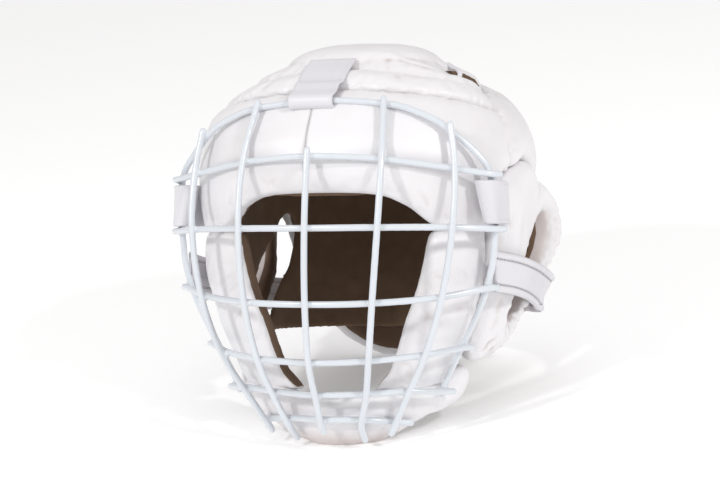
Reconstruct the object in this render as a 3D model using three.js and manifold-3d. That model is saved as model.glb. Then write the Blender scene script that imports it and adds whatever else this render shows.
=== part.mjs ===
// Martial arts grille helmet: a padded leather headguard with a welded wire
// face grille. Millimetres, +Z up. The helmet is worked out upright, with the
// wearer facing -Y and their left side at +X, and is then laid back on its
// chin pad and nape, as it rests on a table.
import * as THREE from 'three';
import { mergeVertices } from 'three/addons/utils/BufferGeometryUtils.js';
import Module from 'manifold-3d';

const wasm = await Module();
wasm.setup();

// ---------------------------------------------------------------- sizes
const PAD = 15;            // thickness of the foam pads
const SEAM = 0.35;         // half of the gap between two neighbouring pads
const LINING = 2;          // thickness of the suede lining
const LINING_GAP = 2.5;    // space between the pads and the lining
const LEATHER = 2.2;       // thickness of the loops that hold the grille
const WIRE = 2.4;          // radius of the grille wire
const WIRE_SIDES = 6;
const WIRE_GAP = 0.55;     // space between two crossing wires
const CAP_RISE = 5;        // how far the top cap's lens stands proud of its flange
const EAR_ROLL_WIDTH = 21; // width of the roll around an ear opening
const STRAP_WIDTH = 28;
const STRAP_THICK = 3;
const LACE = 1.9;          // radius of the crown lace
const CENTRE_LINE = -6;    // the forehead seam and the top loop sit off centre
const LEAN_BACK = 18;      // degrees that the helmet leans back as it rests
const FLOOR_DEPTH = 111.5; // floor below the middle of the head, square to it

const SIDES = [{ name: 'left', sign: 1 }, { name: 'right', sign: -1 }];
const SIDE_SEAM = 79;      // degrees round from the face to the side seam

// Outer surface of the headguard, a row for each level: half of its width,
// the line that its front and back halves meet on, and its front and back.
const SHELL = [
  { z: -112, half: 81, mid: -5, front: -84, back: 86 },
  { z: -88, half: 90, mid: -5, front: -92, back: 97 },
  { z: -46, half: 106, mid: -5, front: -101, back: 112 },
  { z: 0, half: 114, mid: -8, front: -102, back: 125 },
  { z: 30, half: 116, mid: -10, front: -105, back: 132 },
  { z: 60, half: 115, mid: -10, front: -107, back: 133 },
  { z: 80, half: 110, mid: -10, front: -98, back: 126 },
  { z: 95, half: 100, mid: -10, front: -88, back: 114 },
  { z: 107, half: 86, mid: -9, front: -78, back: 99 },
  { z: 118, half: 66, mid: -6, front: -63, back: 78 },
  { z: 127, half: 42, mid: -2, front: -41, back: 50 },
  { z: 132, half: 20, mid: 2, front: -18, back: 26 },
  { z: 133.5, half: 0.6, mid: 4, front: 3.4, back: 4.6 },
];
const FRONT_POWER = 2.5;   // squareness of the front half of each level
const BACK_POWER = 2.2;

// Seams that run round the front of the crown, by degrees from the face.
const BROW_SEAM = [
  { at: 0, z: 105 }, { at: 40, z: 100 }, { at: 62, z: 94 }, { at: 79, z: 88 },
];
const CAP_SEAM = [
  { at: 0, z: 119.5 }, { at: 13, z: 119 }, { at: 35, z: 116 }, { at: 55, z: 111 }, { at: 79, z: 105 },
];
const BROW_EDGE = [
  { at: 0, z: 31 }, { at: 16, z: 30.5 }, { at: 26, z: 27 }, { at: 32, z: 20 }, { at: 36, z: 12 },
  { at: 40, z: 8.4 }, { at: 50, z: 7.6 }, { at: 64.5, z: 8.6 }, { at: 66.5, z: 40 }, { at: 79, z: 46.5 },
];
// Where the top cap meets the back panel, in plan.
const CAP_BACK = [
  { x: 0, y: 40 }, { x: 30, y: 38.5 }, { x: 55, y: 34 }, { x: 72, y: 25 }, { x: 84, y: 8 },
  { x: 90, y: -10 }, { x: 120, y: -90 },
];
// The raised lens of the cap, and the laced slot beside it on each side.
const LENS = { y: -12.6, halfWidth: 56, halfLength: 44 };
const SLOT = { fromX: 59, fromY: -21, toX: 85.5, toY: 7, z: 110, width: 13 };
// Lower edge of the back panel: over the ear guard, then down to the nape.
const BACK_EDGE = [
  { at: 79, z: 46.5 }, { at: 90, z: 53.5 }, { at: 96, z: 58 }, { at: 102, z: 56 },
  { at: 111, z: 46 }, { at: 117, z: 36 }, { at: 122.2, z: 16 }, { at: 125.6, z: -12 },
  { at: 129.4, z: -38 }, { at: 138, z: -62 }, { at: 152, z: -83 }, { at: 180, z: -93 },
];

// Ear guard seen from the side: the rim of its opening and its outer edge, how
// far each stands out from the headguard's surface, and the roll at the rim.
const EAR = [
  { rimY: 48, rimZ: 20, rimOut: 4, roll: 4, edgeY: 38, edgeZ: 44, edgeOut: 3 },
  { rimY: 53, rimZ: 15, rimOut: 8, roll: 6, edgeY: 55.2, edgeZ: 32.2, edgeOut: 10 },
  { rimY: 53, rimZ: 4, rimOut: 10, roll: 7, edgeY: 66, edgeZ: 14, edgeOut: 18 },
  { rimY: 49, rimZ: -8, rimOut: 9, roll: 7, edgeY: 60, edgeZ: -7, edgeOut: 15 },
  { rimY: 42, rimZ: -20, rimOut: 6, roll: 6, edgeY: 51, edgeZ: -26, edgeOut: 9 },
  { rimY: 27, rimZ: -35, rimOut: 3, roll: 4.5, edgeY: 33, edgeZ: -42, edgeOut: 4 },
  { rimY: 11, rimZ: -50, rimOut: 1, roll: 4, edgeY: 14, edgeZ: -59, edgeOut: 2 },
  { rimY: -2, rimZ: -58, rimOut: 1, roll: 4, edgeY: -6, edgeZ: -73, edgeOut: 2 },
  { rimY: -9, rimZ: -60, rimOut: 1, roll: 4, edgeY: -26, edgeZ: -87, edgeOut: 1 },
  { rimY: -13, rimZ: -52, rimOut: 1, roll: 4, edgeY: -39, edgeZ: -80, edgeOut: 0 },
  { rimY: -9, rimZ: -40, rimOut: 0, roll: 3, edgeY: -45, edgeZ: -55, edgeOut: 0 },
  { rimY: -1, rimZ: -26, rimOut: -1, roll: 2.5, edgeY: -48.4, edgeZ: -26, edgeOut: 0 },
  { rimY: 11, rimZ: -15, rimOut: -2, roll: 2.5, edgeY: -48.8, edgeZ: 0, edgeOut: 0 },
  { rimY: 21, rimZ: -8, rimOut: -3, roll: 2.5, edgeY: -47.4, edgeZ: 22, edgeOut: 0 },
  { rimY: 28, rimZ: -1, rimOut: -3, roll: 2.5, edgeY: -39.5, edgeZ: 40.4, edgeOut: 0 },
  { rimY: 36, rimZ: 8, rimOut: -1.5, roll: 2.5, edgeY: -4, edgeZ: 53.2, edgeOut: 0 },
  { rimY: 42, rimZ: 15, rimOut: 1, roll: 3, edgeY: 18, edgeZ: 54, edgeOut: 1 },
];

// Cheek pad: its inner and outer edge and the depth of its face at each.
const CHEEK = [
  { z: 5.4, inner: 69.5, outer: 101, innerY: -80, outerY: -68 },
  { z: -14, inner: 66, outer: 102, innerY: -80, outerY: -67 },
  { z: -36, inner: 60, outer: 98, innerY: -80, outerY: -66 },
  { z: -60, inner: 50, outer: 90, innerY: -79, outerY: -65 },
  { z: -80, inner: 41, outer: 81, innerY: -77, outerY: -64 },
  { z: -92.9, inner: 27, outer: 72.5, innerY: -75, outerY: -64 },
];
const CHEEK_THICK = 18.5;

// Chin pad: the line that its middle follows from the centre to the jaw.
const CHIN = [
  { x: 0, y: -86, top: -108, bottom: -143 },
  { x: 24, y: -84, top: -106, bottom: -141 },
  { x: 46, y: -76.5, top: -102, bottom: -134 },
  { x: 64, y: -66.5, top: -100.1, bottom: -124 },
  { x: 76, y: -56, top: -98.9, bottom: -119 },
  { x: 83, y: -45, top: -89.6, bottom: -116 },
  { x: 85.5, y: -32, top: -90, bottom: -114 },
];
const CHIN_THICK = 15;

// Grille: where the level wires cross the upright ones, and the level at which
// each one crosses the frame.
const LEVEL_WIRES = [
  { centre: [-117.5, 56], inner: [49, -110, 53.5], outer: [93, -92.5, 47], endZ: 42.5 },
  { centre: [-122.5, 7.7], inner: [49, -118.5, 7.8], outer: [93, -98, 7.6], endZ: 6.2 },
  { centre: [-122.5, -43.5], inner: [45, -118.5, -42.5], outer: [85.5, -99, -39], endZ: -33 },
  { centre: [-116.5, -83], inner: [39, -110, -81.5], outer: [72, -95, -78], endZ: -73 },
  { centre: [-105, -105.5], inner: [33, -99, -104.5], outer: [58, -88, -103], endZ: -103 },
];
const WIRE_OVERHANG = 6;   // how far a level wire runs on past the frame
const CHIN_WIRE = { centre: [-96.1, -123], inner: [26.5, -90.6, -123], end: [55, -70, -126] };
const WIRE_FEET = { centre: [-93.4, -130], inner: [25, -80, -136], outer: [44, -80, -131] };
const WIRE_TOPS = { centre: [-117, 58.5], inner: [45, -94.4, 92], outer: [88.8, -89, 74.6] };
// The frame of the grille: an arch over the brow that runs down both sides.
const FRAME_WIRE = [
  { x: 0, y: -95, z: 93.5 }, { x: 35, y: -93, z: 91.5 }, { x: 57, y: -92, z: 88 },
  { x: 68.5, y: -90.5, z: 83.7 }, { x: 81, y: -89, z: 77.8 }, { x: 88.5, y: -87, z: 72 },
  { x: 100.3, y: -81, z: 61.4 }, { x: 111, y: -77, z: 48.6 }, { x: 114, y: -75.6, z: 39 },
  { x: 115.5, y: -74, z: 20 }, { x: 115, y: -72.5, z: 0 }, { x: 113.5, y: -72, z: -16 },
  { x: 109, y: -71, z: -33 }, { x: 103, y: -70, z: -48 }, { x: 95.5, y: -69, z: -63 },
  { x: 88, y: -68, z: -77 }, { x: 78, y: -66, z: -97 }, { x: 75, y: -65, z: -105 },
];

const FRAME_LINE = FRAME_WIRE.map((row) => new THREE.Vector3(row.x, row.y, row.z));
const FRAME_UP = [...FRAME_WIRE].reverse();

// Leather loop at the temple in plan, from inside the frame wire round it and
// back onto the ear guard; it is drawn tighter round the wire at its lower edge.
const SIDE_LOOP = [
  { x: 104.5, y: -68, lowX: 110, lowY: -68 }, { x: 103.4, y: -76, lowX: 110, lowY: -76 },
  { x: 105.6, y: -82, lowX: 111.6, lowY: -80 }, { x: 111, y: -83.5, lowX: 114.6, lowY: -81 },
  { x: 116, y: -80.5, lowX: 118.4, lowY: -79 }, { x: 119, y: -75, lowX: 120.4, lowY: -74 },
  { x: 118.9, y: -66, lowX: 120, lowY: -66 }, { x: 117, y: -54, lowX: 118.6, lowY: -54 },
  { x: 114.5, y: -43, lowX: 115.6, lowY: -43 }, { x: 113.7, y: -38, lowX: 114.8, lowY: -38 },
];
const SIDE_LOOP_AT = { z: 24, width: 29 };

// Nape strap: from the frame wire back over the ear guard, round the nape, with
// the degrees that it leans in below.
const STRAP = [
  { x: 0, y: 112, z: -56, lean: 20 }, { x: 27, y: 110, z: -55, lean: 20 },
  { x: 49.5, y: 103.4, z: -52, lean: 20 }, { x: 75, y: 87.2, z: -47, lean: 21 },
  { x: 91.5, y: 70, z: -43, lean: 24 }, { x: 105.2, y: 55, z: -40.5, lean: 28 },
  { x: 116.1, y: 40, z: -38.5, lean: 31 }, { x: 118.5, y: 14, z: -32.5, lean: 22 },
  { x: 119.3, y: -14, z: -28, lean: 10 }, { x: 118, y: -42, z: -24.5, lean: 3 },
  { x: 112.6, y: -65.5, z: -22, lean: 0 },
];

// ---------------------------------------------------------------- helpers
const radians = (degrees) => degrees * Math.PI / 180;
const mix = (a, b, t) => a + (b - a) * t;
const clamp01 = (t) => Math.min(1, Math.max(0, t));

// A smooth value from a table, by its key column.
function lookUp(table, key, column, at) {
  const last = table.length - 1;
  let i = 0;
  while (i < last - 1 && at > table[i + 1][key]) i += 1;
  const slope = (k) => {
    const before = table[Math.max(0, k - 1)];
    const after = table[Math.min(last, k + 1)];
    return (after[column] - before[column]) / (after[key] - before[key]);
  };
  const span = table[i + 1][key] - table[i][key];
  const t = clamp01((at - table[i][key]) / span);
  const ease = t * t * (3 - 2 * t);
  const rise = t * (1 - t) * (1 - t) * span * slope(i);
  const fall = t * t * (t - 1) * span * slope(i + 1);
  return mix(table[i][column], table[i + 1][column], ease) + rise + fall;
}

// The point of the headguard's surface at a level and an angle from the face.
function shellPoint(z, degrees) {
  const half = Math.max(0.3, lookUp(SHELL, 'z', 'half', z));
  const mid = lookUp(SHELL, 'z', 'mid', z);
  const sine = Math.sin(radians(degrees));
  const cosine = Math.cos(radians(degrees));
  const front = cosine > 0;
  const reach = Math.max(0.3, Math.abs(lookUp(SHELL, 'z', front ? 'front' : 'back', z) - mid));
  const power = front ? FRONT_POWER : BACK_POWER;
  const size = (Math.abs(sine) ** power + Math.abs(cosine) ** power) ** (-1 / power);
  return new THREE.Vector3(half * size * sine, mid - reach * size * cosine, z);
}

// The headguard's surface moved along its own normal.
function shellOffset(z, degrees, offset) {
  const step = 0.5;
  const low = Math.max(SHELL[0].z, z - step);
  const high = Math.min(SHELL[SHELL.length - 1].z, z + step);
  const up = shellPoint(high, degrees).sub(shellPoint(low, degrees));
  const round = shellPoint(z, degrees + step).sub(shellPoint(z, degrees - step));
  const normal = round.cross(up).normalize();
  return shellPoint(z, degrees).addScaledVector(normal, offset);
}

// Height of the crown over a point in plan, and the surface moved from there.
function domeHeight(x, y) {
  let low = 30;
  let high = SHELL[SHELL.length - 1].z;
  for (let k = 0; k < 40; k += 1) {
    const z = (low + high) / 2;
    const half = Math.max(0.01, lookUp(SHELL, 'z', 'half', z));
    const mid = lookUp(SHELL, 'z', 'mid', z);
    const front = y < mid;
    const reach = Math.max(0.01, Math.abs(lookUp(SHELL, 'z', front ? 'front' : 'back', z) - mid));
    const power = front ? FRONT_POWER : BACK_POWER;
    const inside = (Math.abs(x) / half) ** power + (Math.abs(y - mid) / reach) ** power < 1;
    if (inside) low = z; else high = z;
  }
  return (low + high) / 2;
}

function domeOffset(x, y, offset) {
  const step = 3;
  const slopeX = (domeHeight(x + step, y) - domeHeight(x - step, y)) / (2 * step);
  const slopeY = (domeHeight(x, y + step) - domeHeight(x, y - step)) / (2 * step);
  const normal = new THREE.Vector3(-slopeX, -slopeY, 1).normalize();
  return new THREE.Vector3(x, y, domeHeight(x, y)).addScaledVector(normal, offset);
}

// The side of the headguard at a place seen from the side, moved outwards.
function sideOffset(y, z, offset) {
  const mid = lookUp(SHELL, 'z', 'mid', z);
  const front = y < mid;
  const power = front ? FRONT_POWER : BACK_POWER;
  const along = Math.abs((y - mid) / (lookUp(SHELL, 'z', front ? 'front' : 'back', z) - mid));
  const across = Math.max(0, 1 - along ** power) ** (1 / power);
  const angle = Math.atan2(across, front ? along : -along) * 180 / Math.PI;
  return shellOffset(z, angle, offset);
}

// How far a rounded edge falls away, at a distance in from that edge.
function edgeFall(distance, radius, drop) {
  const t = clamp01(1 - distance / radius);
  return drop * (1 - Math.sqrt(1 - t * t));
}

function geometryOf(points, triangles) {
  const geometry = new THREE.BufferGeometry();
  const positions = new Float32Array(points.flatMap((p) => [p.x, p.y, p.z]));
  geometry.setAttribute('position', new THREE.BufferAttribute(positions, 3));
  geometry.setIndex(triangles);
  return geometry;
}

// Turns a closed geometry the right way out.
function facingOut(geometry) {
  const p = geometry.attributes.position;
  const index = geometry.index.array;
  const corner = (k) => new THREE.Vector3().fromBufferAttribute(p, index[k]);
  let volume = 0;
  for (let k = 0; k < index.length; k += 3) volume += corner(k).dot(corner(k + 1).cross(corner(k + 2)));
  if (volume < 0) {
    for (let k = 0; k < index.length; k += 3) [index[k + 1], index[k + 2]] = [index[k + 2], index[k + 1]];
  }
  return geometry;
}

// A closed pad from its outer and its inner face, each a function of two
// shares; the shares are closer together near the rounded edges.
function padGeometry(across, along, outer, inner) {
  const points = [];
  for (const face of [outer, inner]) {
    for (const v of along) for (const u of across) points.push(face(u, v));
  }
  const n = across.length;
  const m = along.length;
  const at = (side, i, j) => side * n * m + j * n + i;
  const triangles = [];
  const quad = (a, b, c, d) => triangles.push(a, b, c, a, c, d);
  for (let j = 0; j < m - 1; j += 1) {
    for (let i = 0; i < n - 1; i += 1) {
      quad(at(0, i, j), at(0, i + 1, j), at(0, i + 1, j + 1), at(0, i, j + 1));
      quad(at(1, i, j), at(1, i, j + 1), at(1, i + 1, j + 1), at(1, i + 1, j));
    }
  }
  for (let i = 0; i < n - 1; i += 1) {
    quad(at(0, i, 0), at(1, i, 0), at(1, i + 1, 0), at(0, i + 1, 0));
    quad(at(0, i, m - 1), at(0, i + 1, m - 1), at(1, i + 1, m - 1), at(1, i, m - 1));
  }
  for (let j = 0; j < m - 1; j += 1) {
    quad(at(0, 0, j), at(0, 0, j + 1), at(1, 0, j + 1), at(1, 0, j));
    quad(at(0, n - 1, j), at(1, n - 1, j), at(1, n - 1, j + 1), at(0, n - 1, j + 1));
  }
  return facingOut(geometryOf(points, triangles));
}

// A closed ring of sections: section(i) gives the points of each one.
function ringGeometry(count, section) {
  const rings = Array.from({ length: count }, (_, i) => section(i));
  const n = rings[0].length;
  const triangles = [];
  for (let i = 0; i < count; i += 1) {
    const next = (i + 1) % count;
    for (let j = 0; j < n; j += 1) {
      const k = (j + 1) % n;
      triangles.push(i * n + j, next * n + j, next * n + k, i * n + j, next * n + k, i * n + k);
    }
  }
  return facingOut(geometryOf(rings.flat(), triangles));
}

// Shares from 0 to 1, with extra ones where the edges are rounded.
function shares(count, edges) {
  const even = Array.from({ length: count + 1 }, (_, i) => i / count);
  return [0, ...edges, ...even.slice(1, -1), ...edges.map((e) => 1 - e).reverse(), 1];
}

// A geometry with each corner kept only once.
function merged(geometry) {
  const bare = geometry.clone();
  bare.deleteAttribute('normal');
  bare.deleteAttribute('uv');
  return mergeVertices(bare, 1e-4);
}

function solidOf(geometry) {
  const bare = merged(geometry);
  return new wasm.Manifold(new wasm.Mesh({
    numProp: 3,
    vertProperties: new Float32Array(bare.attributes.position.array),
    triVerts: new Uint32Array(bare.index.array),
  }));
}

function geometryOfSolid(solid) {
  const mesh = solid.getMesh();
  const geometry = new THREE.BufferGeometry();
  geometry.setAttribute('position', new THREE.BufferAttribute(new Float32Array(mesh.vertProperties), 3));
  geometry.setIndex(Array.from(mesh.triVerts));
  return geometry;
}

// What is left of a solid above the plane that the helmet rests on.
function restOnFloor(geometry) {
  const size = 600;
  const below = new THREE.BoxGeometry(size, size, size);
  below.translate(0, 0, -size / 2 - FLOOR_DEPTH);
  below.rotateX(radians(LEAN_BACK));
  return geometryOfSolid(solidOf(geometry).subtract(solidOf(below)));
}

function mirrored(geometry) {
  const copy = geometry.clone();
  copy.scale(-1, 1, 1);
  return facingOut(copy);
}

// ---------------------------------------------------------------- pads
// A pad on the shell between two side angles and two edges given by angle.
function shellPad({ from, to, low, high, across, along, thick = PAD, rise = 0 }) {
  const roundness = 9;
  const drop = 2.5;
  const place = (u, v, offsetAt) => {
    const degrees = mix(from, to, u);
    const bottom = low(degrees);
    const top = high(degrees);
    const level = mix(bottom, top, v);
    const inFromSide = Math.min(u, 1 - u) * radians(to - from) * 100;
    const inFromEdge = Math.min(v, 1 - v) * Math.abs(top - bottom) * 1.2;
    return shellOffset(level, degrees, offsetAt(inFromSide, inFromEdge));
  };
  const outer = (u, v) => place(u, v, (a, b) => (
    rise - edgeFall(a, roundness, drop) - edgeFall(b, roundness, drop)));
  const inner = (u, v) => place(u, v, () => -thick);
  return padGeometry(across, along, outer, inner);
}

const aroundSeam = (table, gap) => (degrees) => lookUp(table, 'at', 'z', Math.abs(degrees)) + gap;

function foreheadPad() {
  return shellPad({
    from: -SIDE_SEAM + 0.2, to: SIDE_SEAM - 0.2,
    low: aroundSeam(BROW_EDGE, 0), high: aroundSeam(BROW_SEAM, -SEAM),
    across: shares(20, [0.02, 0.06]).filter((s, i, all) => i === 0 || s - all[i - 1] > 0.005),
    along: shares(4, [0.04, 0.12]),
  });
}

function crownBand() {
  return shellPad({
    from: -SIDE_SEAM + 0.2, to: SIDE_SEAM - 0.2,
    low: aroundSeam(BROW_SEAM, SEAM), high: aroundSeam(CAP_SEAM, -SEAM),
    across: shares(16, [0.02]), along: [0, 0.2, 0.5, 0.8, 1],
  });
}

// The level at which the back panel meets the top cap, found by halving.
function capLevel(degrees) {
  const behind = (z) => {
    const p = shellPoint(z, degrees);
    return p.y > lookUp(CAP_BACK, 'x', 'y', Math.abs(p.x)) + 3 * SEAM;
  };
  let low = 60;
  let high = SHELL[SHELL.length - 1].z;
  for (let k = 0; k < 30; k += 1) {
    const z = (low + high) / 2;
    if (behind(z)) low = z; else high = z;
  }
  return low;
}

function backPanel() {
  return shellPad({
    from: SIDE_SEAM + 0.2, to: 360 - SIDE_SEAM - 0.2,
    low: (degrees) => lookUp(BACK_EDGE, 'at', 'z', 180 - Math.abs(180 - degrees)),
    high: capLevel,
    across: shares(24, [0.012]), along: shares(8, [0.03]),
  });
}

// The top cap: a raised lens in a flange that reaches to the seams round it,
// with a laced slot through the flange on each side.
function topCap() {
  const inside = (x, y) => {
    if (y > lookUp(CAP_BACK, 'x', 'y', Math.abs(x))) return false;
    const height = domeHeight(x, y);
    const half = lookUp(SHELL, 'z', 'half', height);
    const mid = lookUp(SHELL, 'z', 'mid', height);
    const reach = Math.abs(lookUp(SHELL, 'z', 'front', height) - mid);
    const ahead = Math.atan2(Math.abs(x) / half, (mid - y) / reach) * 180 / Math.PI;
    return ahead > SIDE_SEAM || height > lookUp(CAP_SEAM, 'at', 'z', ahead) + SEAM;
  };
  const edgeAt = (sine, cosine) => {
    let low = 5;
    let high = 130;
    for (let k = 0; k < 30; k += 1) {
      const reach = (low + high) / 2;
      if (inside(sine * reach, LENS.y - cosine * reach)) low = reach; else high = reach;
    }
    return low;
  };
  const spokes = 32;
  const lensRings = [0.4, 0.75, 0.9, 0.98];
  const flangeRings = [0.04, 0.3, 0.75, 1];
  const points = [domeOffset(0, LENS.y, CAP_RISE), domeOffset(0, LENS.y, -PAD)];
  for (const outside of [true, false]) {
    for (let i = 0; i < spokes; i += 1) {
      const angle = 2 * Math.PI * i / spokes;
      const sine = Math.sin(angle);
      const cosine = Math.cos(angle);
      const lens = 1 / Math.hypot(sine / LENS.halfWidth, cosine / LENS.halfLength);
      const edge = Math.max(lens + 2.5, edgeAt(sine, cosine));
      for (const share of lensRings) {
        const reach = share * lens;
        const rise = CAP_RISE - edgeFall(lens - reach, 14, CAP_RISE + 1.5);
        points.push(domeOffset(sine * reach, LENS.y - cosine * reach, outside ? rise : -PAD));
      }
      for (const share of flangeRings) {
        const reach = mix(lens, edge, share);
        const rise = -edgeFall(reach - lens, 5, 1.5) - edgeFall(edge - reach, 7, 4);
        points.push(domeOffset(sine * reach, LENS.y - cosine * reach, outside ? rise : -PAD));
      }
    }
  }
  const n = lensRings.length + flangeRings.length;
  const at = (side, i, j) => 2 + side * spokes * n + (i % spokes) * n + j;
  const triangles = [];
  for (let i = 0; i < spokes; i += 1) {
    triangles.push(0, at(0, i, 0), at(0, i + 1, 0), 1, at(1, i + 1, 0), at(1, i, 0));
    for (let j = 0; j < n - 1; j += 1) {
      triangles.push(at(0, i, j), at(0, i, j + 1), at(0, i + 1, j + 1));
      triangles.push(at(0, i, j), at(0, i + 1, j + 1), at(0, i + 1, j));
      triangles.push(at(1, i, j), at(1, i + 1, j + 1), at(1, i, j + 1));
      triangles.push(at(1, i, j), at(1, i + 1, j), at(1, i + 1, j + 1));
    }
    triangles.push(at(0, i, n - 1), at(1, i, n - 1), at(1, i + 1, n - 1));
    triangles.push(at(0, i, n - 1), at(1, i + 1, n - 1), at(0, i + 1, n - 1));
  }
  let solid = solidOf(facingOut(geometryOf(points, triangles)));
  for (const { sign } of SIDES) solid = solid.subtract(solidOf(slotCutter(sign)));
  return geometryOfSolid(solid);
}

// A lens-shaped prism that stands through the crown where a slot is, upright as
// the helmet rests.
function slotCutter(sign) {
  const dx = SLOT.toX - SLOT.fromX;
  const dy = SLOT.toY - SLOT.fromY;
  const length = Math.hypot(dx, dy);
  const steps = 6;
  const outline = [];
  for (let k = 0; k < 2 * steps; k += 1) {
    const share = k < steps ? k / steps : 2 - k / steps;
    const out = Math.sin(Math.PI * share) * SLOT.width / 2 * (k < steps ? 1 : -1);
    const x = SLOT.fromX + dx * share - dy / length * out;
    outline.push(new THREE.Vector2(sign * x, SLOT.fromY + dy * share + dx / length * out));
  }
  const cutter = new THREE.ExtrudeGeometry(new THREE.Shape(outline), { depth: 60, bevelEnabled: false });
  const lean = -Math.tan(radians(LEAN_BACK));
  cutter.translate(0, 0, -30);
  cutter.applyMatrix4(new THREE.Matrix4().set(1, 0, 0, 0, 0, 1, lean, 0, 0, 0, 1, 0, 0, 0, 0, 1));
  return cutter.translate(0, 0, SLOT.z);
}

// A smooth closed loop through the rows of the ear table.
function earRow(share) {
  const n = EAR.length;
  const k = Math.floor(share * n) % n;
  const t = share * n - Math.floor(share * n);
  const row = {};
  for (const column of Object.keys(EAR[0])) {
    const [a, b, c, d] = [-1, 0, 1, 2].map((i) => EAR[(k + i + n) % n][column]);
    row[column] = b + 0.5 * t * (c - a + t * (2 * a - 5 * b + 4 * c - d + t * (3 * (b - c) + d - a)));
  }
  return row;
}

function earGuard() {
  const stations = 34;
  const outerShares = [0.02, 0.1, 0.25, 0.42, 0.62, 0.85, 1];
  return ringGeometry(stations, (i) => {
    const row = earRow(i / stations);
    const width = Math.hypot(row.edgeY - row.rimY, row.edgeZ - row.rimZ);
    const place = (share, offset) => sideOffset(
      mix(row.rimY, row.edgeY, share), mix(row.rimZ, row.edgeZ, share),
      mix(row.rimOut, row.edgeOut, share) + offset);
    const outside = outerShares.map((share) => {
      const inward = share * width;
      const across = clamp01(inward / EAR_ROLL_WIDTH);
      const roll = row.roll * Math.sin(Math.PI * across) ** 0.8;
      return place(share, roll - edgeFall((1 - share) * width, 8, 5));
    });
    const back = 1 - PAD;
    return [place(0, -7), ...outside, place(1, back), place(0.5, back), place(0, back)];
  });
}

function cheekPad() {
  const rows = [...CHEEK].reverse();
  const place = (u, v, back) => {
    const z = mix(rows[0].z, rows[rows.length - 1].z, v);
    const get = (column) => lookUp(rows, 'z', column, z);
    const width = get('outer') - get('inner');
    const height = rows[rows.length - 1].z - rows[0].z;
    const fall = edgeFall(Math.min(u, 1 - u) * width, 9, 6) + edgeFall((1 - v) * height, 9, 6);
    const bulge = 3 * Math.sin(Math.PI * u);
    const y = mix(get('innerY'), get('outerY'), u);
    const sink = 11.5 * (1 - u) * clamp01(1 - 2.5 * v);
    return new THREE.Vector3(
      mix(get('inner'), get('outer'), u), back ? y + CHEEK_THICK : y + fall - bulge, z - sink);
  };
  return padGeometry(
    shares(4, [0.04, 0.12]), shares(8, [0.03, 0.07]),
    (u, v) => place(u, v, false), (u, v) => place(u, v, true));
}

function chinPad() {
  const jaw = CHIN.length - 1;
  const rows = [...CHIN.slice(1).reverse().map((row) => ({ ...row, x: -row.x })), ...CHIN]
    .map((row, i) => ({ ...row, step: i }));
  const place = (u, v, inside) => {
    const step = u * 2 * jaw;
    const get = (column) => lookUp(rows, 'step', column, step);
    const ahead = (column) => (
      lookUp(rows, 'step', column, Math.min(2 * jaw, step + 0.2))
      - lookUp(rows, 'step', column, Math.max(0, step - 0.2)));
    const normal = new THREE.Vector3(ahead('y'), -ahead('x'), 0).normalize();
    const height = get('top') - get('bottom');
    // The face leans in towards the throat below, and is rounded at its edges.
    const tuck = 15 * clamp01((0.72 - v) / 0.72) ** 2;
    const fall = edgeFall((1 - v) * height, 5, 3) + edgeFall(v * height, 6, 3)
      + edgeFall(Math.min(u, 1 - u) * 240, 9, 6);
    const offset = inside ? -CHIN_THICK - tuck * 0.6 : -fall - tuck;
    return new THREE.Vector3(get('x'), get('y'), mix(get('bottom'), get('top'), v))
      .addScaledVector(normal, offset);
  };
  const geometry = padGeometry(
    shares(18, [0.015]), [0, 0.12, 0.3, 0.5, 0.72, 0.88, 1],
    (u, v) => place(u, v, false), (u, v) => place(u, v, true));
  return restOnFloor(geometry);
}

// Suede lining: a thin shell inside the pads, open at the face and the ears.
function lining() {
  const spokes = 28;
  const bottom = -74;
  const top = SHELL[SHELL.length - 1].z - 0.4;
  const levels = [bottom, -46, -12, 20, 45, 62, 80, 95, 107, 118, 127];
  const depth = PAD + LINING_GAP;
  const points = [];
  for (const offset of [-depth, -depth - LINING]) {
    for (const z of levels) {
      for (let i = 0; i < spokes; i += 1) points.push(shellOffset(z, 360 * i / spokes, offset));
    }
    points.push(new THREE.Vector3(0, 4, top + offset));
  }
  const n = levels.length;
  const at = (side, j, i) => side * (n * spokes + 1) + j * spokes + (i % spokes);
  const apex = (side) => side * (n * spokes + 1) + n * spokes;
  const triangles = [];
  for (let i = 0; i < spokes; i += 1) {
    for (let j = 0; j < n - 1; j += 1) {
      triangles.push(at(0, j, i), at(0, j, i + 1), at(0, j + 1, i + 1));
      triangles.push(at(0, j, i), at(0, j + 1, i + 1), at(0, j + 1, i));
      triangles.push(at(1, j, i), at(1, j + 1, i + 1), at(1, j, i + 1));
      triangles.push(at(1, j, i), at(1, j + 1, i), at(1, j + 1, i + 1));
    }
    triangles.push(at(0, n - 1, i), at(0, n - 1, i + 1), apex(0));
    triangles.push(at(1, n - 1, i), apex(1), at(1, n - 1, i + 1));
    triangles.push(at(0, 0, i), at(1, 0, i), at(1, 0, i + 1));
    triangles.push(at(0, 0, i), at(1, 0, i + 1), at(0, 0, i + 1));
  }
  let solid = solidOf(facingOut(geometryOf(points, triangles)));
  const face = new THREE.BoxGeometry(400, 200, 240);
  face.translate(0, -42 - 100, 29 - 120);
  solid = solid.subtract(solidOf(face));
  const outline = new THREE.Shape(EAR.map((row) => new THREE.Vector2(row.rimY, row.rimZ)));
  const ears = new THREE.ExtrudeGeometry(outline, { depth: 400, bevelEnabled: false });
  ears.translate(0, 0, -200);
  // The outline is drawn in the side view: its X runs back and its Y runs up.
  ears.applyMatrix4(new THREE.Matrix4().makeBasis(
    new THREE.Vector3(0, 1, 0), new THREE.Vector3(0, 0, 1), new THREE.Vector3(1, 0, 0)));
  return geometryOfSolid(solid.subtract(solidOf(ears)));
}

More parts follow.
